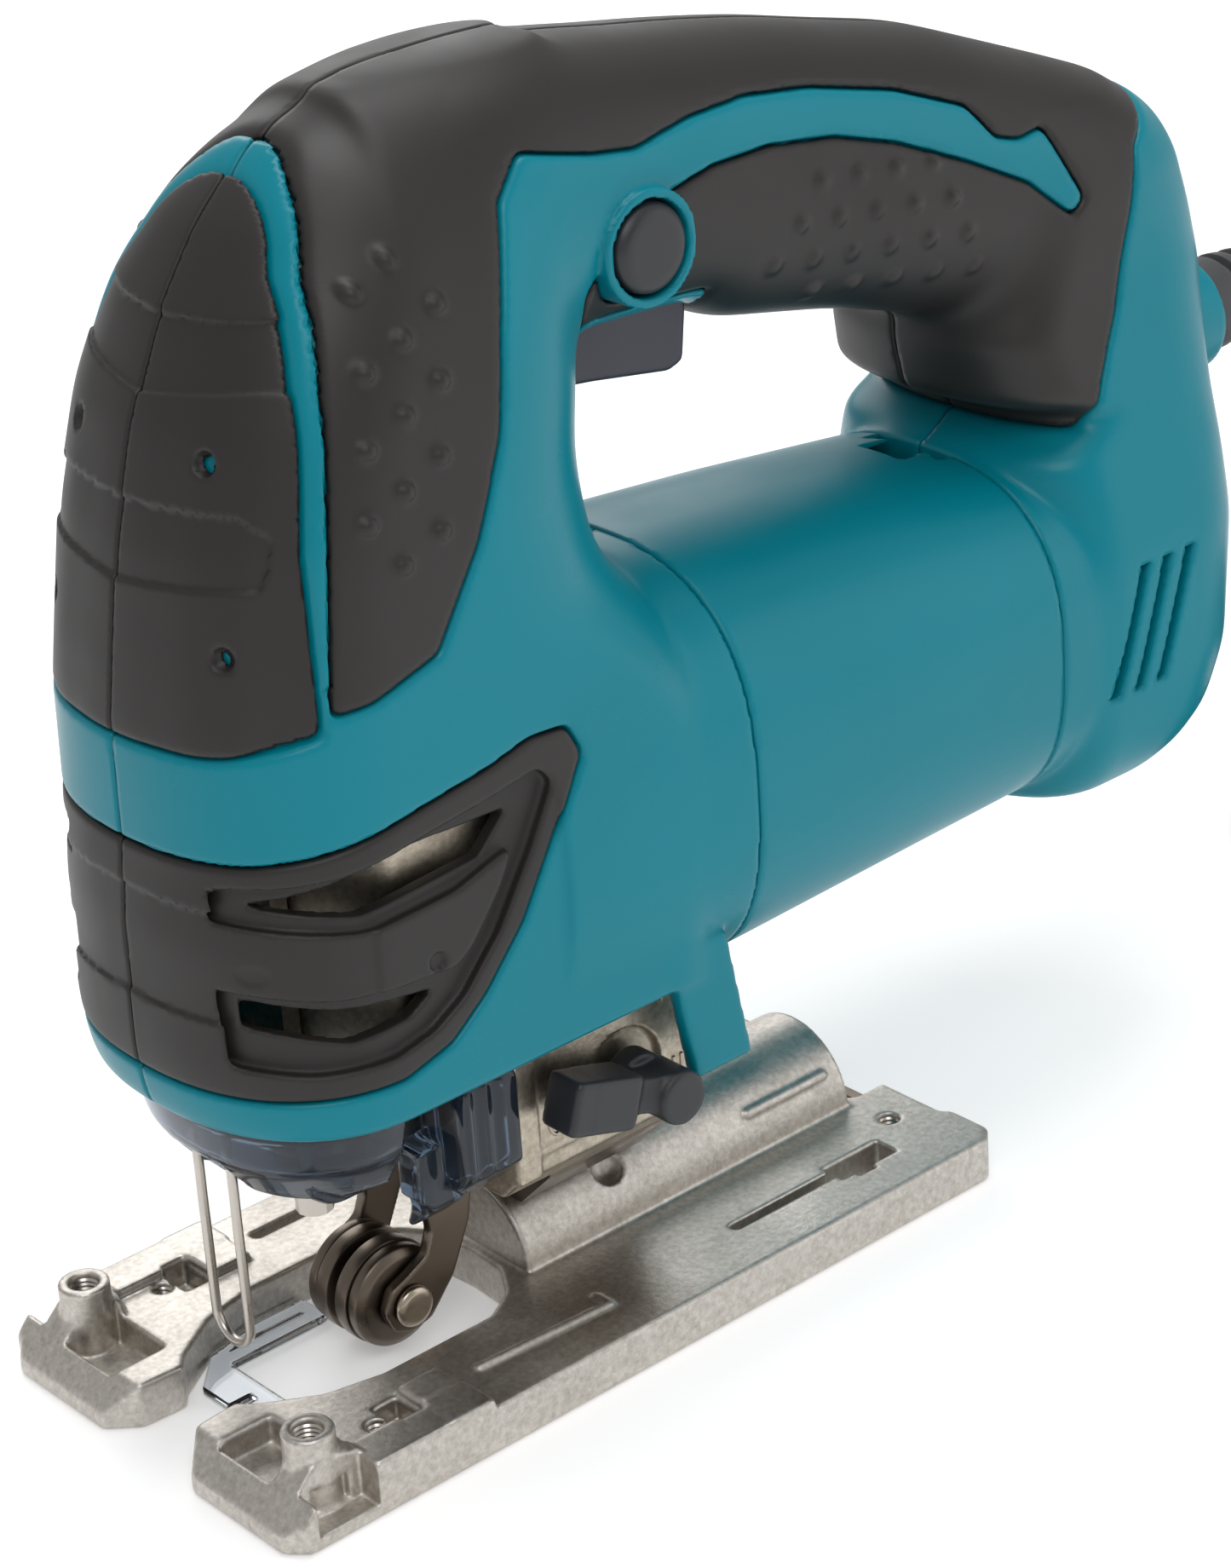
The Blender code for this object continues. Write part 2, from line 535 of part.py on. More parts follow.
def build_roller():
    pivot = (57, 0, 38)
    centre = (ROLLER_X, ROLLER_Z)
    roller = turned("y", centre, [(-7, 7.4), (-6, 8.6), (-4.4, 8.6), (-4.4, ROLLER_R), (-0.9, ROLLER_R), (-0.9, 6.6),
                                  (0.9, 6.6), (0.9, ROLLER_R), (4.4, ROLLER_R), (4.4, 8.6), (6, 8.6), (7, 7.4)], 18)
    cut(roller, rod("y", centre, 2.5, -10, 10, 14))
    finish(roller, "guide_roller", DARK_STEEL, (ROLLER_X, 0, ROLLER_Z))
    profile = [(-11, 3.6), (-9.9, 3.6), (-9.9, 2.2), (9.9, 2.2), (9.9, 3.6), (11, 3.6)]
    finish(turned("y", centre, profile, 14), "roller_pin", STEEL, pivot)
    arm = circle(centre, 4.4, 8, math.radians(150), math.radians(190)) + [(61, 33), (61, 43), (53, 43), (50, 30)]
    fork = prism(arm, "y", -9.6, 9.6)
    cut(fork, box(30, 54, -7.5, 7.5, 0, 60), box(30, 70, -7.5, 7.5, 0, 31), rod("y", centre, 2.5, -12, 12, 14))
    finish(join(fork, rod("y", (57, 38), 2.1, -11.8, 11.8, 12)), "roller_fork", DARK_STEEL, pivot)


def build_orbital_lever():
    pivot = (82, 0, 44)
    knob = rod("y", (82, 44), 7.5, -28.5, -24.3, 20)
    bar = prism([(62, 41), (63, 49), (80, 49), (84, 47.5), (86, 44), (82, 39.5)], "y", -34, -27.5)
    bar = tilted(bar, "Y", 10, Vector((82, 0, 44)))
    finish(join(knob, bar), "orbital_lever", BLACK, pivot)


# Handle and electrics

def build_switch():
    finish(box(89, 121, -8, 8, 170.5, 188), "switch_body", BLACK)
    lever = [(88, 163), (89, 152.6), (99, 152), (115, 149), (117.5, 150), (118.5, 158), (118.5, 163)]
    finish(prism(lever, "y", -8, 8), "trigger", BLACK, (90, 0, 161))
    spring = coil_spring("z", (108, 0), 163.4, 170.2, 2.2, 0.35, 3)
    finish(spring, "trigger_spring", STEEL)
    button = turned("y", BUTTON, [(-24.5, 5.6), (-23.4, 7), (-12, 7)], 24)
    cut(button, rod("y", BUTTON, 4.4, -16.2, -10, 18))
    finish(button, "lock_button", BLACK, (BUTTON[0], 0, BUTTON[1]))
    finish(coil_spring("y", BUTTON, -13, -8.3, 3, 0.35, 3), "lock_spring", STEEL)
    finish(box(126, 144, -7, 7, 168, 182), "capacitor", BRASS)


def coil_spring(axis, centre, start, end, radius, wire, turns):
    """A spring of round wire whose turns run along an axis."""
    steps = 10 * turns
    route = []
    for i in range(steps + 1):
        a = 2 * math.pi * i / 10
        along = start + wire + (end - start - 2 * wire) * i / steps
        u, v = centre[0] + radius * math.cos(a), centre[1] + radius * math.sin(a)
        route.append((u, v, along) if axis == "z" else (u, along, v))
    return tube(route, wire, 0)


def build_base():
    plate = prism([(0, 0), (BASE_LENGTH, 0), (BASE_LENGTH, PLATE_Z), (3, PLATE_Z), (0, 4)], "y", -BASE_HALF, BASE_HALF)
    opening = [(-5, 12), (0, 12), (5, 7), (14, 7), (23, 15), (34, 17.5), (56, 17.5), (62, 14), (66, 8)]
    cut(plate, prism(opening + [(x, -y) for x, y in reversed(opening)], "z", -5, 20))
    ridge = rod("x", (0, RIDGE_Z), RIDGE_R, 69, 141, 32)
    cut(ridge, box(60, 150, -20, 20, -10, 4))
    join(plate, ridge)
    for side in (-1, 1):
        join(plate, rod("z", (10.6, side * 29.6), 4.2, 4, 15, 16))
        cut(plate, rod("z", (10.6, side * 29.6), 2.2, -5, 20, 12), rod("z", (24.3, side * 28.2), 1.6, -5, 20, 12))
        cut(plate, rod("z", (142.7, side * 21), 1.8, -5, 20, 12), box(124, 136, side * 28 - 3, side * 28 + 3, -5, 20))
        near, far = sorted((side * 11.4, side * 25.6))
        cut(plate, box(149, 155, near, far, 5, 20))
    cut(plate, box(BASE_LENGTH - 9.5, 155, -11.4, 11.4, 3, 30), rod("y", (145.9, 5), 2.3, -17.3, 17.3, 12))
    cut(plate, rod("z", (92, 0), 3.2, -5, 19, 14), rod("z", (92, 0), 7, -5, 5.4, 16))
    finish(plate, "base", CAST, (100, 0, RIDGE_Z))
    saddle = prism([(-18, 28.7), (-18, 27.5), (-10, 19.5), (10, 19.5), (18, 27.5), (18, 28.7)], "x", 70, 96)
    cut(saddle, rod("x", (0, RIDGE_Z), RIDGE_R + GAP, 60, 150, 32))
    finish(saddle, "saddle_slider", DARK_STEEL)
    bolt = turned("z", (92, 0), [(1.2, 5.5), (5, 5.5), (5, 2.8), (18.5, 2.8)], 14)
    finish(cut(bolt, prism(circle((92, 0), 2.4, 6), "z", 0, 3.6)), "base_clamp_bolt", STEEL)
    half = [(16.5, 8), (23, 14.6), (34, 17.1), (44, 17.1), (44, 9.8), (24, 9.8)]  # its arms pass beside the roller
    insert = prism(half + [(x, -y) for x, y in reversed(half)], "z", 0.4, 1.7)
    finish(cut(insert, box(10, 21, -1, 1, -5, 10)), "anti_splinter_insert", CLEAR)
    finish(prism(circle((145.9, 5), 2, 6), "y", -17, 17), "hex_key", DARK_STEEL)


# The supply cord

def build_cord():
    guard = turned("x", (0, CORD_Z), [(229, 6.9), (243.4, 6.9), (243.4, 8.6), (252, 8.3), (285, 5.6)], 18)
    finish(guard, "cord_guard", BLACK)
    clamp = box(204, 218, -12, 12, CORD_Z - 3, CORD_Z + 3)
    finish(clamp, "cord_clamp", BLACK)
    knots = [(285.35, 0, 122), (291, 0, 121.9), (306, 0.5, 118.4), (324, 1, 106.5), (340, 1, 88), (352, -1, 66),
             (358, -9, 46), (358.6, -22, 35.5)]
    finish(tube(smooth_route(knots, 22), CORD_R, 2), "cord", BLACK)
    ring = [(COIL_OUTER, 4), (COIL_OUTER, COIL_TOP - 4), (COIL_OUTER - 4, COIL_TOP), (COIL_INNER + 4, COIL_TOP),
            (COIL_INNER, COIL_TOP - 4), (COIL_INNER, 4), (COIL_INNER + 4, 0), (COIL_OUTER - 4, 0)]
    finish(ring_solid(ring, 28), "cord_coil", BLACK)
    tail = turned("x", (PLUG_Y, 7), [(347.6, 4.2), (361, 6)], 14)
    body = loft([[(x, PLUG_Y + w * c, 8.5 + h * s) for c, s in circle((0, 0), 1, 14)]
                 for x, w, h in ((360, 7, 6), (365, 10.6, 8), (385, 11.2, 8.4), (390, 10.6, 8))])
    pins = [rod("x", (PLUG_Y + y, 8.5), 2.1, 389, 406, 12) for y in (-8, 8)]
    finish(join(tail, body, *pins), "plug", BLACK)


def smooth_route(knots, steps):
    """Even points along a smooth curve through the route's own points."""
    knots = np.array(knots, float)
    ends = np.vstack([2 * knots[0] - knots[1], knots, 2 * knots[-1] - knots[-2]])
    fine = []
    for i in range(1, len(ends) - 2):
        a, b, c, d = ends[i - 1:i + 3]
        for t in np.linspace(0, 1, 12, endpoint=False):
            fine.append(0.5 * (2 * b + (c - a) * t + (2 * a - 5 * b + 4 * c - d) * t ** 2
                               + (3 * b - a - 3 * c + d) * t ** 3))
    fine = np.array(fine + [knots[-1]])
    along = np.r_[0, np.cumsum(np.linalg.norm(np.diff(fine, axis=0), axis=1))]
    at = np.linspace(0, along[-1], steps)
    return [tuple(float(np.interp(s, along, fine[:, k])) for k in range(3)) for s in at]


def ring_solid(section, steps):
    """A turned ring that lies on the floor around the coil's centre."""
    builder = bmesh.new()
    rows = []
    for i in range(steps):
        a = 2 * math.pi * i / steps
        rows.append([builder.verts.new((COIL_X + r * math.cos(a), COIL_Y + r * math.sin(a), z)) for r, z in section])
    for i in range(steps):
        row, after = rows[i], rows[(i + 1) % steps]
        for j in range(len(section)):
            k = (j + 1) % len(section)
            builder.faces.new((row[j], row[k], after[k], after[j]))
    return new_object("ring", builder)


def main():
    clear_scene()
    build_casing()
    build_motor_housing()
    build_gear_housing()
    build_gear_train()
    build_plunger()
    build_motor()
    build_front_fittings()
    build_roller()
    build_orbital_lever()
    build_switch()
    build_base()
    build_cord()


main()
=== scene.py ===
"""The looks of a corded D-handle jigsaw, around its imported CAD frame.

Shapes are written in millimetres from the front edge of the base: X to the rear, Y to the tool's
right, Z up. at() turns such a point into the frame's metres. Rounded castings and mouldings are
distance fields that solid() meshes; turned and bent pieces are built from their profiles.
"""

import math

import bpy
import numpy as np
import openvdb
from mathutils import Matrix, Vector


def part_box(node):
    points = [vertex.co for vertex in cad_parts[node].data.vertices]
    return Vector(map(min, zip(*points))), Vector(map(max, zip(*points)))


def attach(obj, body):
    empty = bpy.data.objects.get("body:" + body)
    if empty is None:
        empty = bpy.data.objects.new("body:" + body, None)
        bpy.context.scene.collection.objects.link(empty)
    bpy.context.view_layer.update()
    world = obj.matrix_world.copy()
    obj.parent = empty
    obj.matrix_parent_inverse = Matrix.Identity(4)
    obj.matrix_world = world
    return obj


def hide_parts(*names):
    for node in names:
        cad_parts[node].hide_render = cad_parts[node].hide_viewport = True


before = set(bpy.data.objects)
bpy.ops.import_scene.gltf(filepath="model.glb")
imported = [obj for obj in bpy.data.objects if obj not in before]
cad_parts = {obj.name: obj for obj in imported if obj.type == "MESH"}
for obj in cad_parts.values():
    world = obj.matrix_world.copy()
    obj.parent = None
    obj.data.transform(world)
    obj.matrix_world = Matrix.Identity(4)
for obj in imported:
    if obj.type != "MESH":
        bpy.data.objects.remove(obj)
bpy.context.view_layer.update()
ORIGIN_X = -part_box("base")[0][0] * 1000  # the frame's origin, behind the front edge of the base
MM = 0.001
GAP = 0.35  # parting gap between neighbouring pieces
STEP = 0.8  # voxel of the large mouldings
SMALL_STEP = 0.5  # voxel of the small pieces


def at(x, y, z):
    """A point in this script's millimetres, in the frame's metres."""
    return Vector(((x - ORIGIN_X) * MM, y * MM, z * MM))


# Camera, looking down at the left front

def add_camera():
    data = bpy.data.cameras.new("camera")
    data.sensor_fit = "VERTICAL"
    data.sensor_height = 36.0
    data.lens = 90.15
    camera = bpy.data.objects.new("camera", data)
    bpy.context.scene.collection.objects.link(camera)
    azimuth, elevation, roll = (math.radians(a) for a in (-39.86, 25.40, -3.96))
    tilt = Matrix.Rotation(azimuth, 4, "Z") @ Matrix.Rotation(math.pi / 2 - elevation, 4, "X")
    place = Matrix.Translation(at(-264.75, -441.95, 352.48))
    camera.matrix_world = place @ tilt @ Matrix.Rotation(roll, 4, "Z")
    bpy.context.scene.camera = camera


# Distance fields

def smooth(values, width):
    """A row of samples blurred over a number of samples, its ends held."""
    reach = int(3 * width)
    kernel = np.exp(-0.5 * (np.arange(-reach, reach + 1) / width) ** 2)
    padded = np.concatenate([2 * values[0] - values[reach:0:-1], values,
                             2 * values[-1] - values[-2:-reach - 2:-1]])
    return np.convolve(padded, kernel / kernel.sum(), "valid")


class Profile:
    """A smooth function through a few (place, value) pairs, with its slope."""

    def __init__(self, pairs, blur=4.0):
        places, values = zip(*pairs)
        self.places = np.arange(places[0], places[-1] + 0.25, 0.25)
        self.values = smooth(np.interp(self.places, places, values), blur / 0.25)
        self.slopes = np.gradient(self.values, 0.25)

    def __call__(self, at_place):
        return np.interp(at_place, self.places, self.values)

    def slope(self, at_place):
        return np.interp(at_place, self.places, self.slopes)


class Outline:
    """The signed distance to a closed outline in a plane, negative inside; corners are rounded by a radius."""

    def __init__(self, points, radius=0.0, cell=0.4):
        corners = np.array(points, float)
        self.cell = cell
        self.low = corners.min(0) - 14
        high = corners.max(0) + 14
        count = np.ceil((high - self.low) / cell).astype(int) + 1
        across, up = np.meshgrid(*(self.low[k] + cell * np.arange(count[k]) for k in (0, 1)), indexing="ij")
        nearest = np.full(across.shape, 1e9)
        inside = np.zeros(across.shape, bool)
        for (ax, ay), (bx, by) in zip(corners, np.roll(corners, -1, 0)):
            dx, dy = bx - ax, by - ay
            part = np.clip(((across - ax) * dx + (up - ay) * dy) / (dx * dx + dy * dy), 0, 1)
            nearest = np.minimum(nearest, (across - ax - part * dx) ** 2 + (up - ay - part * dy) ** 2)
            crosses = (ay > up) != (by > up)
            inside ^= crosses & (across < ax + (up - ay) * dx / (dy if dy else 1e-9))
        self.table = np.sqrt(nearest) * np.where(inside, -1, 1)
        if radius:
            for axis in (0, 1):
                self.table = np.apply_along_axis(smooth, axis, self.table, radius / cell)

    def __call__(self, across, up):
        u = np.clip((across - self.low[0]) / self.cell, 0, self.table.shape[0] - 1.001)
        v = np.clip((up - self.low[1]) / self.cell, 0, self.table.shape[1] - 1.001)
        i, j = u.astype(int), v.astype(int)
        u, v = u - i, v - j
        t = self.table
        return ((t[i, j] * (1 - u) + t[i + 1, j] * u) * (1 - v)
                + (t[i, j + 1] * (1 - u) + t[i + 1, j + 1] * u) * v)


def union(a, b, blend=0.0):
    """Both shapes, with a fillet of about the blend's width where they meet."""
    if not blend:
        return np.minimum(a, b)
    h = np.maximum(blend - np.abs(a - b), 0) / blend
    return np.minimum(a, b) - h * h * h * blend / 6


def both(a, b, blend=0.0):
    """What two shapes have in common."""
    return -union(-a, -b, blend)


def without(a, b, blend=0.0):
    return both(a, -b, blend)


def oval(p, q, a, b, power, slope):
    """Distance to a superellipse of half sizes a, b whose size changes along its length by slope(A, B)."""
    p, q = np.maximum(p / a, 1e-6), np.maximum(q / b, 1e-6)
    r = np.maximum((p ** power + q ** power) ** (1 / power), 0.05)
    across, up = (p / r) ** (power - 1), (q / r) ** (power - 1)
    steep = np.sqrt((across / a) ** 2 + (up / b) ** 2 + slope(across, up, p, q) ** 2)
    return (r - 1) / np.maximum(steep, 1 / np.maximum(a, b))


def column(x, y, z, front, rear, half, nose, tail):
    """Distance to an upright column whose plan has a rounded nose and tail; y is never negative."""
    x0, x1, width = front(z), rear(z), np.maximum(half(z), 1)
    d_front, d_rear, d_half = front.slope(z), rear.slope(z), half.slope(z)
    nose = np.minimum(nose, 0.45 * (x1 - x0))
    tail = np.minimum(tail, 0.45 * (x1 - x0))
    ahead, behind = x0 + nose - x, x - x1 + tail
    at_front = ahead > behind
    along = np.maximum(np.where(at_front, ahead, behind), 0)
    size = np.where(at_front, nose, tail)
    moves = np.where(at_front, d_front, -d_rear)
    return oval(along, y, size, width, 2.3, lambda a, b, p, q: a * moves / size - b * q * d_half / width)


def tunnel(x, y, z, top, under, half, power):
    """Distance to a long rounded body along X; y is never negative."""
    high, low, width = top(x), under(x), half(x)
    d_high, d_low, d_half = top.slope(x), under.slope(x), half.slope(x)
    middle, tall = (high + low) / 2, (high - low) / 2
    above = np.where(z > middle, d_high, -d_low)
    return oval(y, np.abs(z - middle), width, tall, power,
                lambda a, b, p, q: -(a * p * d_half / width) - b * above / tall)


def slab(value, low, high, blend=0.0):
    return both(low - value, value - high, blend)


def block(x, y, z, x0, x1, y0, y1, z0, z1, blend=0.0):
    return both(both(slab(x, x0, x1, blend), slab(y, y0, y1, blend), blend), slab(z, z0, z1, blend), blend)


def solid(distance, low, high, step, rounds=2):
    """Vertices and faces of the surface where distance(x, y, z) is zero, in millimetres."""
    low, high = np.array(low, float) - 2 * step, np.array(high, float) + 2 * step
    blocks = np.ceil((high - low) / (4 * step)).astype(int)
    centres = np.meshgrid(*(low[k] + step * (4 * np.arange(blocks[k]) + 1.5) for k in range(3)),
                          indexing="ij")
    rough = distance(*(c.ravel() for c in centres)).reshape(blocks)
    near = np.argwhere(np.abs(rough) < 4.5 * step + 1.5)
    values = np.repeat(np.repeat(np.repeat(np.clip(rough, -3, 3), 4, 0), 4, 1), 4, 2).astype(np.float32)
    inner = np.stack(np.meshgrid(*[np.arange(4)] * 3, indexing="ij"), -1).reshape(-1, 3)
    for start in range(0, len(near), 8000):
        cells = (near[start:start + 8000, None, :] * 4 + inner[None]).reshape(-1, 3)
        x, y, z = (low + step * cells).T
        values[tuple(cells.T)] = distance(x, y, z)
    grid = openvdb.FloatGrid(10.0)
    grid.copyFromArray(values)
    points, quads = grid.convertToQuads(0.0)
    points = low + step * points.astype(float)
    for _ in range(rounds):
        points = settle(distance, points, step)
    return points, quads


def settle(distance, points, step):
    """The points moved onto the surface along the field's slope."""
    x, y, z = points.T
    here, h = distance(x, y, z), 0.02
    slope = np.stack([distance(x + h, y, z), distance(x, y + h, z), distance(x, y, z + h)], 1)
    slope = (slope - here[:, None]) / h
    move = -here[:, None] * slope / np.maximum((slope ** 2).sum(1, keepdims=True), 0.2)
    reach = np.linalg.norm(move, axis=1, keepdims=True)
    return points + move * np.minimum(1, 0.4 * step / np.maximum(reach, 1e-9))


# Pieces

def piece(name, points, faces, body, slot, look, *nodes):
    """A finished piece from points in millimetres, riding on a body and standing for CAD nodes."""
    mesh = bpy.data.meshes.new(name)
    points = (np.asarray(points, float) - (ORIGIN_X, 0, 0)) * MM
    mesh.from_pydata(points.tolist(), [], [tuple(f) for f in np.asarray(faces, dtype=object)])
    return dress(mesh, name, body, slot, look, *nodes)


def dress(mesh, name, body, slot, look, *nodes, angle=40):
    """An object of the mesh with its finish, its body and the nodes it stands for."""
    mesh.materials.clear()
    mesh.materials.append(look)
    mesh.shade_smooth()
    if angle < 180:
        mesh.set_sharp_from_angle(angle=math.radians(angle))
    made = bpy.data.objects.new(name, mesh)
    bpy.context.scene.collection.objects.link(made)
    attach(made, body)
    if nodes:
        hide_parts(*nodes)
    return made


def moulded(name, distance, low, high, step, body, slot, look, *nodes):
    """A piece whose surface is where its distance field is zero."""
    points, quads = solid(distance, low, high, step)
    mesh = bpy.data.meshes.new(name)
    mesh.vertices.add(len(points))
    mesh.vertices.foreach_set("co", ((points - (ORIGIN_X, 0, 0)) * MM).ravel())
    mesh.loops.add(quads.size)
    mesh.loops.foreach_set("vertex_index", quads.ravel())
    mesh.polygons.add(len(quads))
    mesh.polygons.foreach_set("loop_start", np.arange(0, quads.size, 4))
    mesh.update(calc_edges=True)
    mesh.validate()
    return dress(mesh, name, body, slot, look, *nodes, angle=180)


# Materials

def linear(red, green, blue):
    """An sRGB colour of 0 to 255 as Blender's linear values."""
    parts = [c / 255 for c in (red, green, blue)]
    return tuple(c / 12.92 if c < 0.0404 else ((c + 0.055) / 1.055) ** 2.4 for c in parts) + (1,)


def surface(name, colour, roughness, metallic=0.0, **sockets):
    look = bpy.data.materials.new(name)
    look.use_nodes = True
    shader = look.node_tree.nodes["Principled BSDF"]
    shader.inputs["Base Color"].default_value = colour
    shader.inputs["Roughness"].default_value = roughness
    shader.inputs["Metallic"].default_value = metallic
    for key, value in sockets.items():
        shader.inputs[key.replace("_", " ")].default_value = value
    return look


def noise(look, scale, detail, roughness):
    nodes, links = look.node_tree.nodes, look.node_tree.links
    place = nodes.new("ShaderNodeTexCoord")
    texture = nodes.new("ShaderNodeTexNoise")
    texture.inputs["Scale"].default_value = scale
    texture.inputs["Detail"].default_value = detail
    texture.inputs["Roughness"].default_value = roughness
    links.new(place.outputs["Object"], texture.inputs["Vector"])
    return texture


def ramp(look, source, stops, target):
    """Feeds a source through a colour ramp of (place, colour) stops into a shader's socket."""
    nodes, links = look.node_tree.nodes, look.node_tree.links
    blend = nodes.new("ShaderNodeValToRGB")
    blend.color_ramp.elements[0].position = stops[0][0]
    blend.color_ramp.elements[1].position = stops[-1][0]
    for place, _ in stops[1:-1]:
        blend.color_ramp.elements.new(place)
    for element, (_, colour) in zip(blend.color_ramp.elements, stops):
        element.color = colour if len(colour) == 4 else (*colour * 3, 1)
    links.new(source, blend.inputs["Fac"])
    links.new(blend.outputs["Color"], nodes["Principled BSDF"].inputs[target])
    return blend


def bump(look, height, strength, distance, under=None):
    nodes, links = look.node_tree.nodes, look.node_tree.links
    node = nodes.new("ShaderNodeBump")
    node.inputs["Strength"].default_value = strength
    node.inputs["Distance"].default_value = distance
    links.new(height, node.inputs["Height"])
    if under:
        links.new(under.outputs["Normal"], node.inputs["Normal"])
    links.new(node.outputs["Normal"], nodes["Principled BSDF"].inputs["Normal"])
    return node


def moulded_plastic(name, colour, roughness, grain=2600, depth=0.00003, patch=0.06, **sockets):
    """Injection-moulded plastic: a fine spark-eroded grain and faint changes of gloss and tone."""
    look = surface(name, colour, roughness, **sockets)
    fine = noise(look, grain, 3, 0.55)
    bump(look, fine.outputs["Fac"], 0.35, depth)
    broad = noise(look, 45, 3, 0.5)
    ramp(look, broad.outputs["Fac"], [(0.3, (roughness - patch,)), (0.7, (roughness + patch,))],
         "Roughness")
    tone = noise(look, 22, 2, 0.5)
    darker = tuple(0.93 * c for c in colour[:3]) + (1,)
    ramp(look, tone.outputs["Fac"], [(0.35, darker), (0.65, colour)], "Base Color")
    return look


def cast_metal(name, dark, light, roughness=0.42):
    """A blasted die casting: coarse orange peel with bright grains."""
    look = surface(name, light, roughness, 1.0)
    peel = noise(look, 900, 4, 0.6)
    under = bump(look, peel.outputs["Fac"], 0.5, 0.0001)
    grain = noise(look, 2600, 2, 0.5)
    bump(look, grain.outputs["Fac"], 0.35, 0.00005, under)
    ramp(look, peel.outputs["Fac"], [(0.25, dark), (0.75, light)], "Base Color")
    patch = noise(look, 60, 3, 0.5)
    ramp(look, patch.outputs["Fac"], [(0.3, (roughness - 0.08,)), (0.7, (roughness + 0.1,))], "Roughness")
    return look


def ground_steel(name, colour, roughness):
    """Ground or turned steel with faint patches of wear."""
    look = surface(name, colour, roughness, 1.0)
    fine = noise(look, 1500, 3, 0.6)
    bump(look, fine.outputs["Fac"], 0.15, 0.00002)
    broad = noise(look, 150, 3, 0.5)
    ramp(look, broad.outputs["Fac"], [(0.3, (roughness - 0.08,)), (0.7, (roughness + 0.1,))], "Roughness")
    return look


LOOKS = {
    "teal": moulded_plastic("teal plastic", linear(0, 122, 138), 0.32, depth=0.00002,
                            Specular_IOR_Level=0.22),
    "rubber": moulded_plastic("soft grip rubber", linear(34, 31, 30), 0.48, grain=3200, depth=0.00003,
                              Specular_IOR_Level=0.4),
    "black": moulded_plastic("black plastic", linear(34, 35, 40), 0.42),
    "trigger": moulded_plastic("trigger plastic", linear(45, 47, 58), 0.45),
    "cord": moulded_plastic("cord sheath", linear(60, 60, 62), 0.5, grain=1800),
    "cast": cast_metal("base casting", linear(172, 166, 158), linear(212, 207, 200)),
    "cast_dark": cast_metal("gear housing casting", linear(155, 145, 130), linear(200, 190, 174)),
    "steel": ground_steel("ground steel", linear(190, 184, 176), 0.28),
    "dark_steel": ground_steel("oiled steel", linear(112, 102, 92), 0.34),
    "smoke": surface("smoky polycarbonate", linear(88, 104, 124), 0.08, IOR=1.45, Transmission_Weight=0.92),
    "clear": surface("clear polycarbonate", linear(235, 240, 245), 0.03, IOR=1.58, Transmission_Weight=1.0),
    "pin": ground_steel("bright pin", linear(178, 166, 150), 0.25),
    "copper": ground_steel("copper", linear(200, 130, 90), 0.35),
    "brass": ground_steel("brass", linear(200, 165, 90), 0.35),
    "carbon": surface("carbon", linear(40, 40, 40), 0.7),
}

# The casing

HEAD_FRONT = Profile([(58, 10.5), (62, 8.6), (70, 7.6), (91, 8), (104, 9.8), (122, 10.3), (132, 12),
                      (149, 15), (166, 20), (180, 26.5), (192, 35), (200, 44), (204.5, 54), (206.3, 66)],
                      2.0)
HEAD_REAR = Profile([(58, 103.8), (112, 103.8), (120, 101), (126, 95), (134, 91), (150, 89), (160, 91),
                     (206.3, 90)])
HEAD_HALF = Profile([(58, 33), (104, 33.5), (122, 33), (150, 32.5), (165, 31.5), (175, 30), (185, 26.5),
                     (192, 22.5), (198, 17.5), (203, 11), (206.3, 4)], 2.5)
HEAD_TAIL = Profile([(58, 16), (108, 16), (126, 34), (206.3, 34)])
REAR_FRONT = Profile([(54, 176.2), (117, 176.2), (121, 184), (124, 184), (127, 173), (138, 170.5),
                      (150, 175), (172, 185)], 1.5)
REAR_BACK = Profile([(54, 214), (58, 222), (64, 227), (75, 230.5), (100, 232), (142, 232), (152, 230),
                     (160, 226), (167, 219), (172, 208)], 2.0)
REAR_HALF = Profile([(54, 25), (58, 29), (64, 31.5), (75, 33), (98, 33), (110, 30.5), (120, 27.5),
                     (130, 25.5), (142, 24), (160, 22), (167, 19), (172, 13)], 2.5)
HANDLE_TOP = Profile([(56, 204.5), (70, 206.2), (80, 206.6), (90, 206.2), (100, 204.8), (110, 203),
                      (125, 200.7), (141, 197.7), (157, 193.7), (174, 189.7), (192, 182.7), (210, 175.7),
                      (222, 169)])
HANDLE_UNDER = Profile([(56, 160), (88, 160), (118, 158.5), (124, 154), (150, 148.5), (170, 142.5),
                        (190, 137), (222, 140)], 3.0)
HANDLE_HALF = Profile([(56, 18), (68, 22.5), (80, 24.5), (90, 23.5), (105, 21.5), (150, 21), (180, 22),
                       (205, 23), (222, 18)])
BARREL_TOP = Profile([(60, 124), (104, 124), (140, 121), (176, 117), (214, 112)])
BARREL_UNDER = Profile([(60, 52), (104, 52), (176, 54.5), (214, 57)])
BARREL_HALF = Profile([(60, 34), (104, 35), (176, 33), (214, 31)])
SEAM_1, SEAM_2 = 104.0, 176.0
BARREL_BORE = 29.5
AXIS_Z = 88.0  # height of the motor's axis
BUTTON_X, BUTTON_Z = 98.0, 176.0

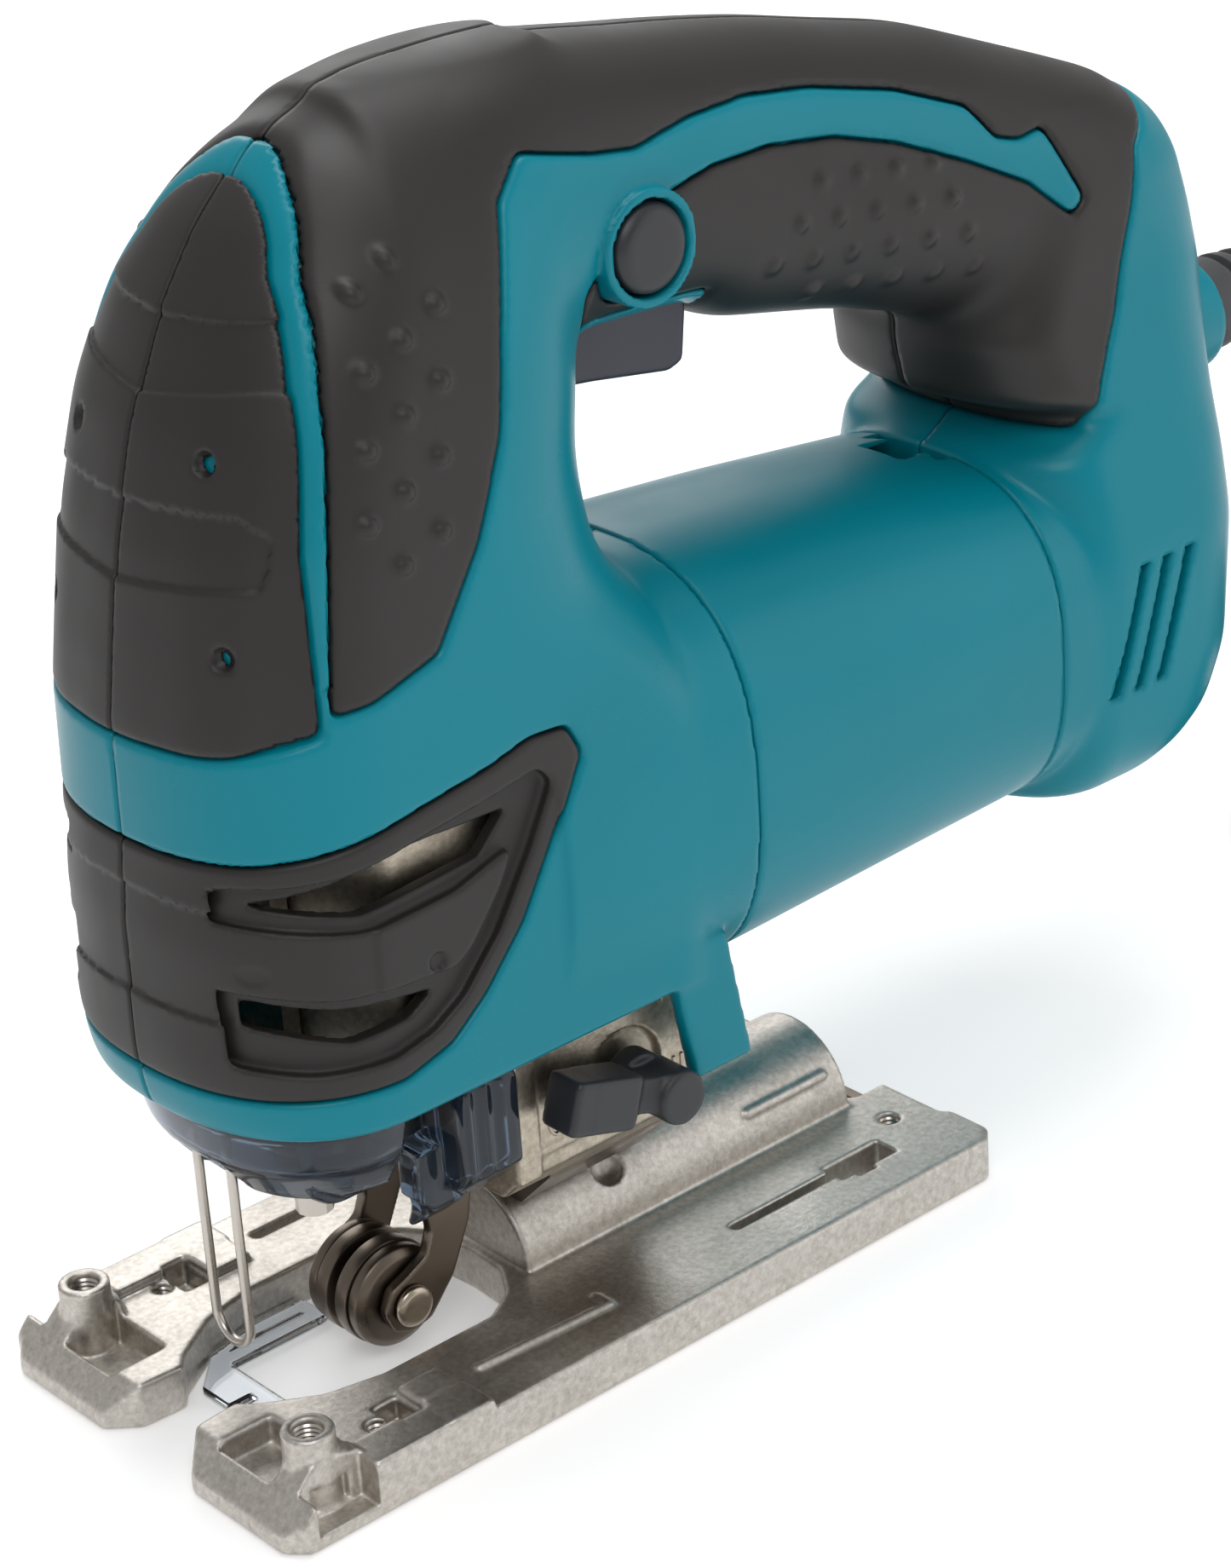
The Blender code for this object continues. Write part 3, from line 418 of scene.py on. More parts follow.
STRIP = [(25.5, 120), (26, 127), (29, 150), (33, 172), (37, 186), (43, 197), (50, 205.5), (56, 215)]
GRIP_EDGE = [(34, 127.5), (46, 131), (55, 145), (61, 159), (64, 173), (70, 190), (76, 195.5), (90, 192),
             (99, 190.5), (112, 192), (124, 192), (138, 190), (156, 185.5), (170, 180), (175, 174),
             (180, 172.5), (186, 173), (193, 160), (190, 157.5), (181, 165), (168, 171.5), (153, 178),
             (140, 182), (126, 184), (114, 184), (101, 181.5), (92, 177), (87, 171), (88, 165), (118, 163),
             (121.5, 150), (121.5, 130), (164, 130), (168, 122.6), (190, 121), (199, 140), (206, 165),
             (225, 176), (225, 215)]
VENT_EDGE = [(-6, 104), (15, 104.8), (26, 106.5), (40, 108.7), (53, 110.5), (61, 112.5), (68, 112),
             (70.5, 107), (64, 96), (57, 84), (49, 75), (42, 69.5), (33, 67), (14, 67.5), (-6, 68.5)]
STRIP_HALF = 1.6  # half the width of the bare strip between the pads

FRONT_PAD = Outline([(-6, 220), (-6, 121.2), (14, 121.5), (26, 124.5)]
                    + [(x - STRIP_HALF, z) for x, z in STRIP[2:]], 0.8)
GRIP = Outline([(x + STRIP_HALF, z) for x, z in reversed(STRIP[1:])] + GRIP_EDGE, 0.7)
VENT = Outline(VENT_EDGE, 0.8)
VENT_DISH = Outline([(12.5, 101.5), (26, 102.5), (40, 104.5), (53, 106), (62, 107.5), (64.5, 104.5),
                     (59.5, 95), (52.5, 84), (45, 76), (39, 72.5), (32, 71), (20, 71.5), (11.5, 73),
                     (11.5, 84)], 0.8)
VENT_BAR = Outline([(-6, 96.5), (12, 96), (29, 92.8), (45, 93.6), (54.5, 96.5), (57, 98), (53, 91),
                    (47, 83.5), (44, 81.5), (24, 83), (8, 86), (-6, 87)], 0.8)
UPPER_SLOT = Outline([(15, 98.5), (29, 95), (51, 96.5), (57, 102.5), (34, 103)], 0.4)
LOWER_SLOT = Outline([(14, 79), (26, 75), (36, 75.5), (41, 78.5), (24, 81), (14, 83.5)], 0.4)
SCREWS = [(66, 160), (83.4, 131), (160, 170), (214, 146), (214, 70)]
WALL = 4.6  # casing wall with its pad
PAD = 2.0  # depth of a pad's seat


def casing(x, y, z):
    """Head, handle and rear column in one, with the two stubs of the barrel."""
    y = np.abs(y)
    head = column(x, y, z, HEAD_FRONT, HEAD_REAR, HEAD_HALF, 26.0, HEAD_TAIL(z))
    head = both(head, slab(z, 59.6, 206.1), 2.5)
    handle = both(tunnel(x, y, z, HANDLE_TOP, HANDLE_UNDER, HANDLE_HALF, 2.3), slab(x, 58, 220), 3)
    rear = column(x, y, z, REAR_FRONT, REAR_BACK, REAR_HALF, 16.0, 22.0)
    rear = both(rear, slab(z, 54.2, 172), 3)
    barrel = tunnel(x, y, z, BARREL_TOP, BARREL_UNDER, BARREL_HALF, 2.6)
    shape = union(head, handle, 9)
    shape = union(shape, rear, 7)
    shape = union(shape, both(barrel, slab(x, 66, SEAM_1), 0.6), 3)
    return union(shape, both(barrel, slab(x, SEAM_2, 206), 0.6), 3)


def seats(x, z):
    """Distance in side view to the nearest pad's seat."""
    return union(union(FRONT_PAD(x, z), GRIP(x, z)), VENT(x, z))


def shell(x, y, z):
    """The teal casing, hollow and seated for its pads."""
    body = casing(x, y, z)
    ring = np.hypot(x - BUTTON_X, z - BUTTON_Z)
    button = both(ring - 8.9, y + 10)
    seat = without(seats(x, z) - GAP, button)
    shape = without(body, both(seat, -body - PAD), 1.4)
    hollow = both(body + WALL, slab(x, -50, 214), 1)
    shape = without(shape, hollow)
    shape = without(shape, both(VENT_DISH(x, z) - 1.0, 9 - np.abs(y)), 0.5)
    lean = (z - 75) * 7.3 / 22 - x
    for i in range(3):
        slot = both(np.abs(lean + 189 + 5.6 * i) - 1.1, slab(z, 74.5, 97))
        shape = without(shape, both(slot, 12 - np.abs(y)), 0.8)
    shape = union(shape, both(np.abs(ring - 8.2) - 0.8, slab(y, -24.4, -12)), 0.5)
    shape = without(shape, both(ring - 7.5, y + 10), 0.4)
    for sx, sz in SCREWS:
        shape = without(shape, both(np.hypot(x - sx, z - sz) - 3.7, 15.6 - y), 0.5)
    shape = without(shape, block(x, y, z, 86, 121, -8.8, 8.8, 140, 166), 0.6)
    shape = without(shape, block(x, y, z, 20, 98.5, -25, 25, 50, 70), 0.5)
    collar = both(np.hypot(y, z - 122) - (12 - (x - 226) * 0.09), slab(x, 226, 243), 1.0)
    shape = union(shape, collar, 2)
    shape = without(shape, both(np.hypot(y, z - 122) - 7.4, slab(x, 220, 260)), 0.5)
    leg = both(slab(x + (z - 60) * 0.18, 87, 99), slab(np.abs(y), 29.4, 32.4, 0.6), 1.2)
    return union(shape, both(leg, slab(z, 42.5, 66), 1.2), 2)


def half_of(distance, side):
    """One side of a shape that is split along the tool's middle."""
    return lambda x, y, z: both(distance(x, y, z), GAP / 2 - side * y, 0.5)


def pad(outline, detail, deep=None):
    """A rubber pad that fills its seat, with rounded edges; it is as thick as the wall inside a deep outline."""
    def distance(x, y, z):
        body = casing(x, y, z)
        under = -body - PAD + GAP
        if deep:
            under = union(under, both(both(-body - WALL, deep(x, z) - 0.5), 9.5 - np.abs(y)))
        return both(both(detail(x, y, z, body), outline(x, z), 1.5), under)
    return distance


# Side bumps on the head, dimples of the front pad and bumps of the grip, as (x, z)
HEAD_BUMPS = [(49, 187.6), (42.4, 184.4), (54.2, 180.4), (47.1, 177.2), (40.3, 174.1), (52, 170.2),
              (45, 167), (38, 163.8), (50, 159.8), (43.2, 156.5), (36.3, 153.4), (48.6, 149.1),
              (41.3, 146.1)]
FRONT_DIMPLES = [(26.5, 189.3), (21.1, 163.1), (16.7, 136.4)]
BANDS = [Outline([(-30, 178), (0, 180.4), (21, 181.3), (26, 178.7), (25.5, 172.3), (20.5, 172.6),
                  (0, 170.1), (-30, 168)], 0.3),
         Outline([(-30, 155), (0, 155.8), (21, 156.2), (25, 153.1), (24.5, 146.1), (20.5, 146), (0, 144.4),
                  (-30, 143)], 0.3)]


def facets(left, nose, body):
    """The flats at the corner and along the middle of the nose."""
    shape = both(body, -(nose - 7.2) * 0.62 + (left - 24.2) * 0.78, 0.8)
    return both(shape, -(nose - 0.55) * 0.985 + (left - 8) * 0.17, 0.8)


def front_detail(x, y, z, body):
    """Flat facets, two sunk bands and three dimples."""
    left = np.abs(y)
    shape = facets(left, x - HEAD_FRONT(z), body)
    for band in BANDS:
        shape = without(shape, both(band(left, z), -shape - 0.55), 0.5)
    for dx, dz in FRONT_DIMPLES:
        across = np.arange(0, 40, 0.2)
        skin = casing(np.full(across.size, dx), across, np.full(across.size, dz))
        dy = np.interp(0, facets(across, dx - HEAD_FRONT(dz), skin), across)
        shape = without(shape, np.sqrt((x - dx) ** 2 + (left - dy - 1.1) ** 2 + (z - dz) ** 2) - 2.0, 0.4)
    return shape


def grip_detail(x, y, z, body):
    """Raised bumps on the head and the grip, and room for the lock button."""
    shape = body
    near = np.hypot(x - BUTTON_X, z - BUTTON_Z)
    for bx, bz in HEAD_BUMPS:
        away = (x - bx) ** 2 + (z - bz) ** 2
        shape = shape - 1.1 * np.exp(-(away / 2.0) ** 2)
    for start, height, count in GRIP_ROWS:
        for i in range(count):
            away = (x - start - GRIP_PITCH * i) ** 2 + (z - height + GRIP_DROP * i) ** 2
            shape = shape - 0.7 * np.exp(-(away / 2.0) ** 2)
    return both(shape, np.where(y < 0, 9.3 - near, -9.0), 0.6)  # round the lock button, on the left only


GRIP_PITCH, GRIP_DROP = 8.1, 0.9
GRIP_ROWS = [(136, 176.5, 4), (131.5, 170.5, 5), (127, 164.5, 6), (138, 157, 5)]


def vent_detail(x, y, z, body):
    """A sunk panel with a bar across it, two air slots, a band over the nose and two dimples."""
    dish = without(VENT_DISH(x, z), VENT_BAR(x, z), 0.8)
    shape = without(body, both(dish, -body - 2.0, 1.0), 0.9)
    band = slab(z + 0.03 * np.abs(y), 80.5, 98)
    shape = without(shape, both(both(band, x - 30), -body - 0.5), 0.4)
    for dx, dz in ((40.5, 83.8), (14.5, 88.2)):
        shape = without(shape, both(np.hypot(x - dx, z - dz) - 1.5, -body - 0.7, 0.6), 0.5)
    slots = union(UPPER_SLOT(x, z), LOWER_SLOT(x, z))
    return without(shape, slots, 0.6)


def add_casing():
    for side, name in ((-1, "left"), (1, "right")):
        span = (-45, 1) if side < 0 else (-1, 45)
        moulded("housing_shell_" + name, half_of(shell, side), (3, span[0], 41), (246, span[1], 208), STEP,
                "housing", "teal_plastic", LOOKS["teal"], "housing_" + name)
        moulded("front_grip_pad_" + name, half_of(pad(FRONT_PAD, front_detail), side), (2, span[0], 118),
                (60, span[1], 210), SMALL_STEP * 1.2, "housing", "rubber_grip", LOOKS["rubber"],
                "front_pad_" + name)
        moulded("handle_grip_" + name, half_of(pad(GRIP, grip_detail), side), (25, span[0], 118),
                (234, span[1], 210), STEP, "housing", "rubber_grip", LOOKS["rubber"], "grip_" + name)
        moulded("vent_bezel_" + name, half_of(pad(VENT, vent_detail, VENT_DISH), side), (3, span[0], 62),
                (75, span[1], 116), SMALL_STEP * 1.2, "housing", "rubber_grip", LOOKS["rubber"],
                "vent_cover_" + name)


def barrel(x, y, z):
    outer = tunnel(x, np.abs(y), z, BARREL_TOP, BARREL_UNDER, BARREL_HALF, 2.6)
    outer = both(outer, slab(x, SEAM_1 + GAP, SEAM_2 - GAP), 0.7)
    return without(outer, np.hypot(y, z - AXIS_Z) - BARREL_BORE)


def add_barrel():
    moulded("motor_barrel", barrel, (103, -37, 50), (177, 37, 126), STEP, "housing", "teal_plastic",
            LOOKS["teal"], "motor_housing")


# The base

PLATE = Outline([(0, 12), (0, 35), (3, 38.4), (149, 38.4), (152, 35.6), (152, 27), (150.6, 25.6),
                 (150.6, -6), (67, -6), (66, 8), (62, 14), (56, 17.5), (34, 17.5), (24, 15.2), (15, 9.5),
                 (13, 7), (5, 7.5)], 0.5)
RIDGE_R = 13.0
PLATE_TOP = 8.0


def base(x, y, z):
    """The sole casting: plate, half-round ridge, screw bosses, windows and slots."""
    side = np.abs(y)
    plate = both(PLATE(x, side), slab(z, 0, PLATE_TOP), 1.2)
    ridge = both(np.hypot(y, z - PLATE_TOP) - RIDGE_R, slab(x, 68, 141), 0.8)
    shape = union(plate, both(ridge, 3 - z), 1.6)
    rail = block(x, side, z, 2, 40, 30.5, 38.4, 2, 9.6, 1.2)
    rail = union(rail, block(x, side, z, 31.5, 39.5, 24, 38.4, 2, 9.6, 1.2), 1)
    shape = union(shape, rail, 1.0)
    wall = block(x, side, z, 4, 17, 30.4, 33.8, 2, 10.2, 0.8)
    shape = union(shape, wall, 0.8)
    shape = union(shape, both(np.hypot(x - 10.6, side - 29.6) - 6.0 + (z - 8) * 0.25, slab(z, 3, 11), 1), 1)
    shape = both(shape, (z - 3.0 - 1.05 * x) * 0.69, 1.0)  # the nose slopes up from the sole
    shape = without(shape, block(x, side, z, 5, 16.5, 33.8, 42, 2.2, 14, 0.8), 0.8)
    shape = without(shape, block(x, side, z, 4.5, 14.5, 14, 27.5, 3.2, 14, 2.0), 1.6)
    shape = without(shape, block(x, side, z, 7.3, 14.2, 26, 36, 2.6, 7.2, 0.6), 0.5)
    shape = without(shape, block(x, side, z, 26.5, 31, 24.5, 31.5, 4, 14, 1.0), 1.0)
    boss = both(np.hypot(x - 10.6, side - 29.6) - 4.2, slab(z, 2, 15.1), 0.7)
    shape = union(shape, boss, 1.2)
    for hx, hy, radius in ((10.6, 29.6, 2.5), (24.3, 28.2, 1.7), (142.7, 21, 1.9)):
        shape = without(shape, np.hypot(x - hx, side - hy) - radius, 0.7)
    rear = union(block(x, side, z, 123, 136, 24.6, 29.6, -2, 12, 1),
                 block(x, side, z, 126, 130, 29, 30.8, -2, 12, 0.6), 0.6)
    shape = without(shape, rear, 0.6)
    slot_y = np.where(y < 0, np.hypot(np.maximum(np.abs(x - 112.5) - 11.5, 0), y + 27) - 1.1,
                      np.hypot(np.maximum(np.abs(x - 54) - 9, 0), y - 30) - 1.3)
    shape = without(shape, both(slot_y, 5 - z), 0.5)
    rib = np.hypot(np.maximum(np.abs(x - 58) - 13, 0), y + 28.6 + 0.06 * (x - 58))
    rib = union(rib, np.hypot(x - 71, np.maximum(np.abs(y + 27.8) - 1.6, 0)))
    shape = union(shape, np.hypot(rib, z - PLATE_TOP) - 0.75, 1.0)
    key = np.hypot(np.maximum(np.abs(x - 128) - 9, 0), z - 15.2)
    key = both(key - 0.7, np.hypot(y, z - PLATE_TOP) - RIDGE_R - 0.6)
    shape = union(shape, both(key, y), 0.6)
    shape = without(shape, np.sqrt((x - 89) ** 2 + (y + 9.4) ** 2 + (z - 17.4) ** 2) - 3.0, 0.5)
    trough = np.hypot(np.maximum(145 - x, 0) * 1.6, np.maximum(side - 6.5, 0)) - 5.2
    shape = without(shape, both(both(trough, 3.4 - z), 138 - x), 0.8)
    shape = without(shape, both(np.hypot(x - 145.9, z - 5) - 2.3, side - 17.3))
    shape = without(shape, both(np.hypot(x - 92, y) - 3.2, z - 19))
    return without(shape, both(np.hypot(x - 92, y) - 7.0, z - 5.4), 0.4)


INSERT = Outline([(16.7, -4), (16.7, 8), (23, 14.4), (34, 16.9), (43.8, 16.9), (43.8, 10), (24, 10),
                  (24, -4)], 0.2)


def insert(x, y, z):
    """The clear insert round the blade: two arms that join ahead of the roller."""
    shape = both(INSERT(x, np.abs(y)), slab(z, 0.4, 1.7), 0.3)
    shape = without(shape, block(x, y, z, 10, 21, -0.8, 0.8, -5, 10), 0.2)
    return without(shape, both(np.abs(np.abs(y) - 13.4) - 0.4, both(slab(x, 26, 41), 1.2 - z)), 0.2)


THREADS = {"boss": (10.6, 29.6, 2.5, 4, 14.6), "rear": (142.7, 21, 1.9, 1, 7.4),
           "front": (24.3, 28.2, 1.7, 1, 7.4)}
PITCH = 0.8


def add_thread(name, x, y, radius, low, high):
    """The ridges inside a tapped hole, as a sleeve whose faces point to its axis."""
    turns = int((high - low) / PITCH)
    profile = [(low, radius + 0.2)]
    for i in range(turns):
        profile += [(low + PITCH * i + 0.15, radius - 0.35), (low + PITCH * i + 0.55, radius + 0.1)]
    profile.append((low + PITCH * turns, radius + 0.2))
    turned(name, "z", (x, y), profile[::-1], 28, "base", "bright_steel", LOOKS["steel"], closed=False)


def add_base():
    moulded("base_casting", base, (-1, -40, -1), (153, 40, 23), SMALL_STEP * 1.1, "base", "cast_aluminium",
            LOOKS["cast"], "base")
    moulded("clear_insert", insert, (15, -18, 0), (45, 18, 3), SMALL_STEP * 0.8, "base", "clear_plastic",
            LOOKS["clear"], "anti_splinter_insert")
    for name, (x, y, radius, low, high) in THREADS.items():
        for side_name, side in (("left", -1), ("right", 1)):
            add_thread(f"thread_{name}_{side_name}", x, side * y, radius, low, high)


# Turned and bent pieces

def ring_faces(count, sides, closed=True):
    """The faces between rings of points that follow each other, with or without the two ends."""
    faces = [(i * sides + j, i * sides + (j + 1) % sides, (i + 1) * sides + (j + 1) % sides,
              (i + 1) * sides + j)
             for i in range(count - 1) for j in range(sides)]
    if closed:
        faces += [tuple(range(sides))[::-1], tuple(range((count - 1) * sides, count * sides))]
    return faces


def turned(name, axis, centre, profile, sides, body, slot, look, *nodes, closed=True):
    """A turned piece through (place along the axis, radius) pairs."""
    turns = 2 * np.pi * np.arange(sides) / sides
    rings = []
    for along, radius in profile:
        u, v = centre[0] + radius * np.cos(turns), centre[1] + radius * np.sin(turns)
        w = np.full(sides, along)
        rings.append(np.stack({"x": (w, u, v), "y": (u, w, v), "z": (u, v, w)}[axis], 1))
    faces = ring_faces(len(rings), sides, closed)
    if axis == "y":
        faces = [tuple(reversed(f)) for f in faces]
    return piece(name, np.concatenate(rings), faces, body, slot, look, *nodes)


def eased(corners, radius=0.5, steps=4):
    """A profile whose inner corners are rounded."""
    points = [np.array(c, float) for c in corners]
    out = [points[0]]
    for before, here, after in zip(points, points[1:], points[2:]):
        a, b = before - here, after - here
        reach = min(radius, 0.45 * np.linalg.norm(a), 0.45 * np.linalg.norm(b))
        start, end = here + a / np.linalg.norm(a) * reach, here + b / np.linalg.norm(b) * reach
        for t in np.linspace(0, 1, steps):
            out.append((1 - t) ** 2 * start + 2 * t * (1 - t) * here + t * t * end)
    return [tuple(p) for p in out + [points[-1]]]


def curve_through(knots, spacing):
    """Even points along a smooth curve through a few knots."""
    knots = np.array(knots, float)
    ends = np.vstack([2 * knots[0] - knots[1], knots, 2 * knots[-1] - knots[-2]])
    fine = []
    for i in range(1, len(ends) - 2):
        a, b, c, d = ends[i - 1:i + 3]
        for t in np.linspace(0, 1, 12, endpoint=False):
            fine.append(0.5 * (2 * b + (c - a) * t + (2 * a - 5 * b + 4 * c - d) * t ** 2
                               + (3 * b - a - 3 * c + d) * t ** 3))
    fine = np.array(fine + [knots[-1]])
    along = np.r_[0, np.cumsum(np.linalg.norm(np.diff(fine, axis=0), axis=1))]
    where = np.linspace(0, along[-1], max(2, int(along[-1] / spacing)))
    return np.stack([np.interp(where, along, fine[:, k]) for k in range(3)], 1)


def bent(name, route, radius, sides, body, slot, look, *nodes):
    """A round bar along a route of points, with closed ends."""
    route = np.asarray(route, float)
    ahead = np.gradient(route, axis=0)
    ahead /= np.linalg.norm(ahead, axis=1, keepdims=True)
    side = np.cross(ahead[0], (0.3, 0.2, 1.0))
    rings = []
    for point, along in zip(route, ahead):
        side = side - along * side.dot(along)
        side /= np.linalg.norm(side)
        up = np.cross(along, side)
        turns = 2 * np.pi * np.arange(sides) / sides
        rings.append(point + radius * (np.outer(np.cos(turns), side) + np.outer(np.sin(turns), up)))
    return piece(name, np.concatenate(rings), ring_faces(len(rings), sides), body, slot, look, *nodes)


# The cord

CORD_R = 4.0
CORD_KNOTS = [(285.35, 0, 122), (291, 0, 121.9), (306, 0.5, 118.4), (324, 1, 106.5), (340, 1, 88),
              (352, -1, 66), (358, -9, 46), (358.6, -22, 35.5)]
COIL = (317.0, -26.0)
PLUG_Y = 28.0


def add_cord():
    """The cord down from its guard, round its coil in four layers and out to the plug."""
    down = curve_through(CORD_KNOTS, 6)
    laps = [(41.6, 25.8), (49.4, 25.9), (54.0, 18.8), (46.0, 18.6), (42.0, 11.4), (50.2, 11.5),
            (46.0, 4.3), (54.0, 4.2)]
    turn = np.linspace(-0.1, math.pi / 2 - 2 * math.pi * len(laps), 44 * len(laps))
    at_lap = -turn / (2 * math.pi) - 0.35
    lap = np.interp(at_lap, range(len(laps)), [r for r, _ in laps])
    rise = np.interp(at_lap, range(len(laps)), [z for _, z in laps])
    coil = np.stack([COIL[0] + lap * np.cos(turn), COIL[1] + lap * np.sin(turn), rise], 1)
    tail = np.array([(322, PLUG_Y, 4.6), (330, PLUG_Y, 5.4), (339, PLUG_Y, 6.4), (347.3, PLUG_Y, 7.0)])
    route = np.vstack([down[:-1], coil, tail])
    route = curve_through(route[::2], 3.2)
    sheath = bent("supply_cord", route, CORD_R, 16, "housing", "cord_rubber", LOOKS["cord"], "cord",
                  "cord_coil")
    guard = add_guard()
    plug = add_plug()


def add_guard():
    """The strain relief: a flange and a tapered sleeve with ring grooves."""
    corners = [(229, 6.9), (243.5, 6.9), (243.5, 8.6), (249, 8.5)]
    for i in range(6):
        x, r = 250 + 5 * i, 8.4 - 0.42 * i
        corners += [(x, r), (x + 0.3, r - 1.5), (x + 1.9, r - 1.5), (x + 2.2, r - 0.05)]
    corners += [(282, 5.9), (285, 5.5)]
    return turned("cord_guard_sleeve", "x", (0, 122), eased(corners, 0.4, 3), 40, "housing", "cord_rubber",
                  LOOKS["cord"], "cord_guard")


def add_plug():
    """A two-pin plug: tapered tail, oval body with grip ribs and two pins."""
    sections = [(347.6, 4.2, 4.2), (360, 5.8, 5.8), (362, 8.6, 7), (366, 10.6, 8), (372, 11, 8.3),
                (374, 10.4, 7.8), (376, 11, 8.3), (378, 10.4, 7.8), (380, 11, 8.3), (386, 11.2, 8.4),
                (389.5, 10.8, 8.2), (390, 9.8, 7.4)]
    sides = 40
    turns = 2 * np.pi * np.arange(sides) / sides
    rings = [np.stack([np.full(sides, x), PLUG_Y + w * np.cos(turns),
                       8.5 - (1.5 if x < 361 else 0) + h * np.sin(turns)], 1)
             for x, w, h in sections]
    body = piece("plug_body", np.concatenate(rings), ring_faces(len(rings), sides), "housing",
                 "cord_rubber", LOOKS["cord"], "plug")
    for number, y in enumerate((-8, 8), 1):
        pin = turned(f"plug_pin_{number}", "x", (PLUG_Y + y, 8.5),
                     eased([(389, 2.1), (405, 2.1), (406, 1.2)], 0.5), 20, "housing", "bright_steel",
                     LOOKS["steel"])
        pin.parent = body
    return body


# The working end

DUST_FRONT = Profile([(40, 22.5), (42, 21), (50, 14.8), (58, 13.2), (62, 13.2)], 1.0)
DUST_REAR = Profile([(40, 60), (62, 60)])
DUST_HALF = Profile([(40, 18), (42, 20), (50, 25), (58, 27), (62, 27)], 1.0)


def dust_cover(x, y, z):
    """The clear chip guard below the head, open behind for the blade clamp."""
    side = np.abs(y)
    outer = both(column(x, side, z, DUST_FRONT, DUST_REAR, DUST_HALF, 22.0, 4.0), slab(z, 42, 58), 1.2)
    shape = without(outer, both(outer + 1.8, 44 - z), 0.5)
    shape = without(shape, block(x, y, z, 37, 80, -50, 50, 30, 70), 0.4)
    lip = block(x, y, z, 34, 60, -23.6, -21.2, 43, 58, 0.8)
    shape = union(shape, both(lip, 57 - x), 1)
    shape = without(shape, np.hypot(x - 38.5, y) - 9.0)
    shape = without(shape, block(x, y, z, 16, 22, -6.2, 6.2, 40, 50), 0.4)
    shape = without(shape, np.hypot(x - 28.5, y + 12) - 1.9)
    rib = block(x, y, z, 24, 36, -18, -17, 41, 46, 0.4)
    return union(shape, both(rib, outer - 0.8), 0.6)


def release_lever(x, y, z):
    """The clear thumb lever of the blade clamp, ribbed for grip, with a nose that reaches inwards."""
    shape = block(x, y, z, 47.6, 58.6, -27.2, -14, 33.5, 56.5, 3.0)
    for gx, depth in ((50.0, 1.6), (53.2, 1.3)):
        shape = without(shape, np.hypot(x - gx, y + 28.0) - depth, 1.0)
    shape = without(shape, np.hypot(x - 46.5, z - 31) - 5.6, 1.2)
    nose = block(x, y, z, 43.6, 52, -19.5, -13, 28.5, 44, 2.0)
    nose = without(nose, np.hypot(x - 42.5, z - 31.5) - 3.2, 0.8)
    shape = union(shape, nose, 1.5)
    shape = both(shape, (28 - 0.917 * (y + 14) - z) * 0.737, 0.8)  # clears the tilted base
    return without(shape, both(shape + 1.7, y + 19), 0.6)


FORK = Outline([(50.5, 43), (61, 43), (61.6, 32), (59.5, 21), (55.5, 12.5), (50.5, 6.8), (46.5, 5.8),
                (43, 7.2), (41.4, 11), (43, 14.8), (46.5, 16.2), (50.4, 18.2), (51.8, 22), (50.6, 31)], 0.5)


def fork(x, y, z):
    """The roller's fork: two curved plates on a bridge, with its pivot."""
    side = np.abs(y)
    plate = both(FORK(x, z), slab(side, 7.5, 9.6, 0.4), 0.5)
    bridge = block(x, y, z, 54.6, 60.6, -9, 9, 31.5, 42.5, 1.0)
    pivot = both(np.hypot(x - 57, z - 38) - 2.1, side - 11.8)
    return without(union(union(plate, bridge, 0.8), pivot, 0.4), np.hypot(x - 46.5, z - 11) - 2.5)


def add_roller():
    moulded("roller_yoke", fork, (40, -13, 4), (63, 13, 44), SMALL_STEP * 0.8, "roller_fork", "dark_steel",
            LOOKS["dark_steel"], "roller_fork")
    tread = [(-7.0, 2.6), (-7.0, 7.2), (-6.1, 8.7), (-4.2, 8.7), (-4.2, 8.2), (-3.9, 8.2), (-3.9, 9.0),
             (-1.0, 9.0), (-0.9, 6.6), (0.9, 6.6), (1.0, 9.0), (3.9, 9.0), (3.9, 8.2), (4.2, 8.2),
             (4.2, 8.7), (6.1, 8.7), (7.0, 7.2), (7.0, 2.6)]
    turned("blade_roller", "y", (46.5, 11), eased(tread, 0.35, 3), 64, "guide_roller", "dark_steel",
           LOOKS["dark_steel"], "guide_roller")
    pin = [(-11.3, 0.4), (-11.3, 2.6), (-10.8, 3.5), (-9.8, 3.6), (-9.8, 2.2), (9.8, 2.2), (9.8, 3.6),
           (10.8, 3.5), (11.3, 2.6), (11.3, 0.4)]
    turned("roller_axle", "y", (46.5, 11), eased(pin, 0.4, 4), 40, "roller_fork", "dark_steel",
           LOOKS["pin"], "roller_pin")
    leg = [(23.4, 4.4, 70), (23.4, 4.4, 60), (22, 4.4, 56.6), (19.4, 4.4, 52), (19, 4.4, 40),
           (19, 4.4, 28), (19, 4.4, 17.5)]
    bow = [(19, 4.4 * math.cos(a), 17.5 + 4.4 * math.sin(a)) for a in np.radians(range(-15, -166, -15))]
    wire = leg + bow + [(x, -y, z) for x, y, z in reversed(leg)]
    bent("blade_guard_wire", curve_through(wire, 1.0), 0.8, 16, "housing", "bright_steel", LOOKS["steel"],
         "wire_guard")


def add_clear_parts():
    moulded("chip_guard", dust_cover, (12, -28, 40), (61, 28, 60), SMALL_STEP, "housing", "smoky_plastic",
            LOOKS["smoke"], "dust_cover")
    moulded("clamp_lever", release_lever, (42, -28.5, 27), (60, -12, 58), SMALL_STEP, "blade_release_lever",
            "smoky_plastic", LOOKS["smoke"], "blade_release_lever")


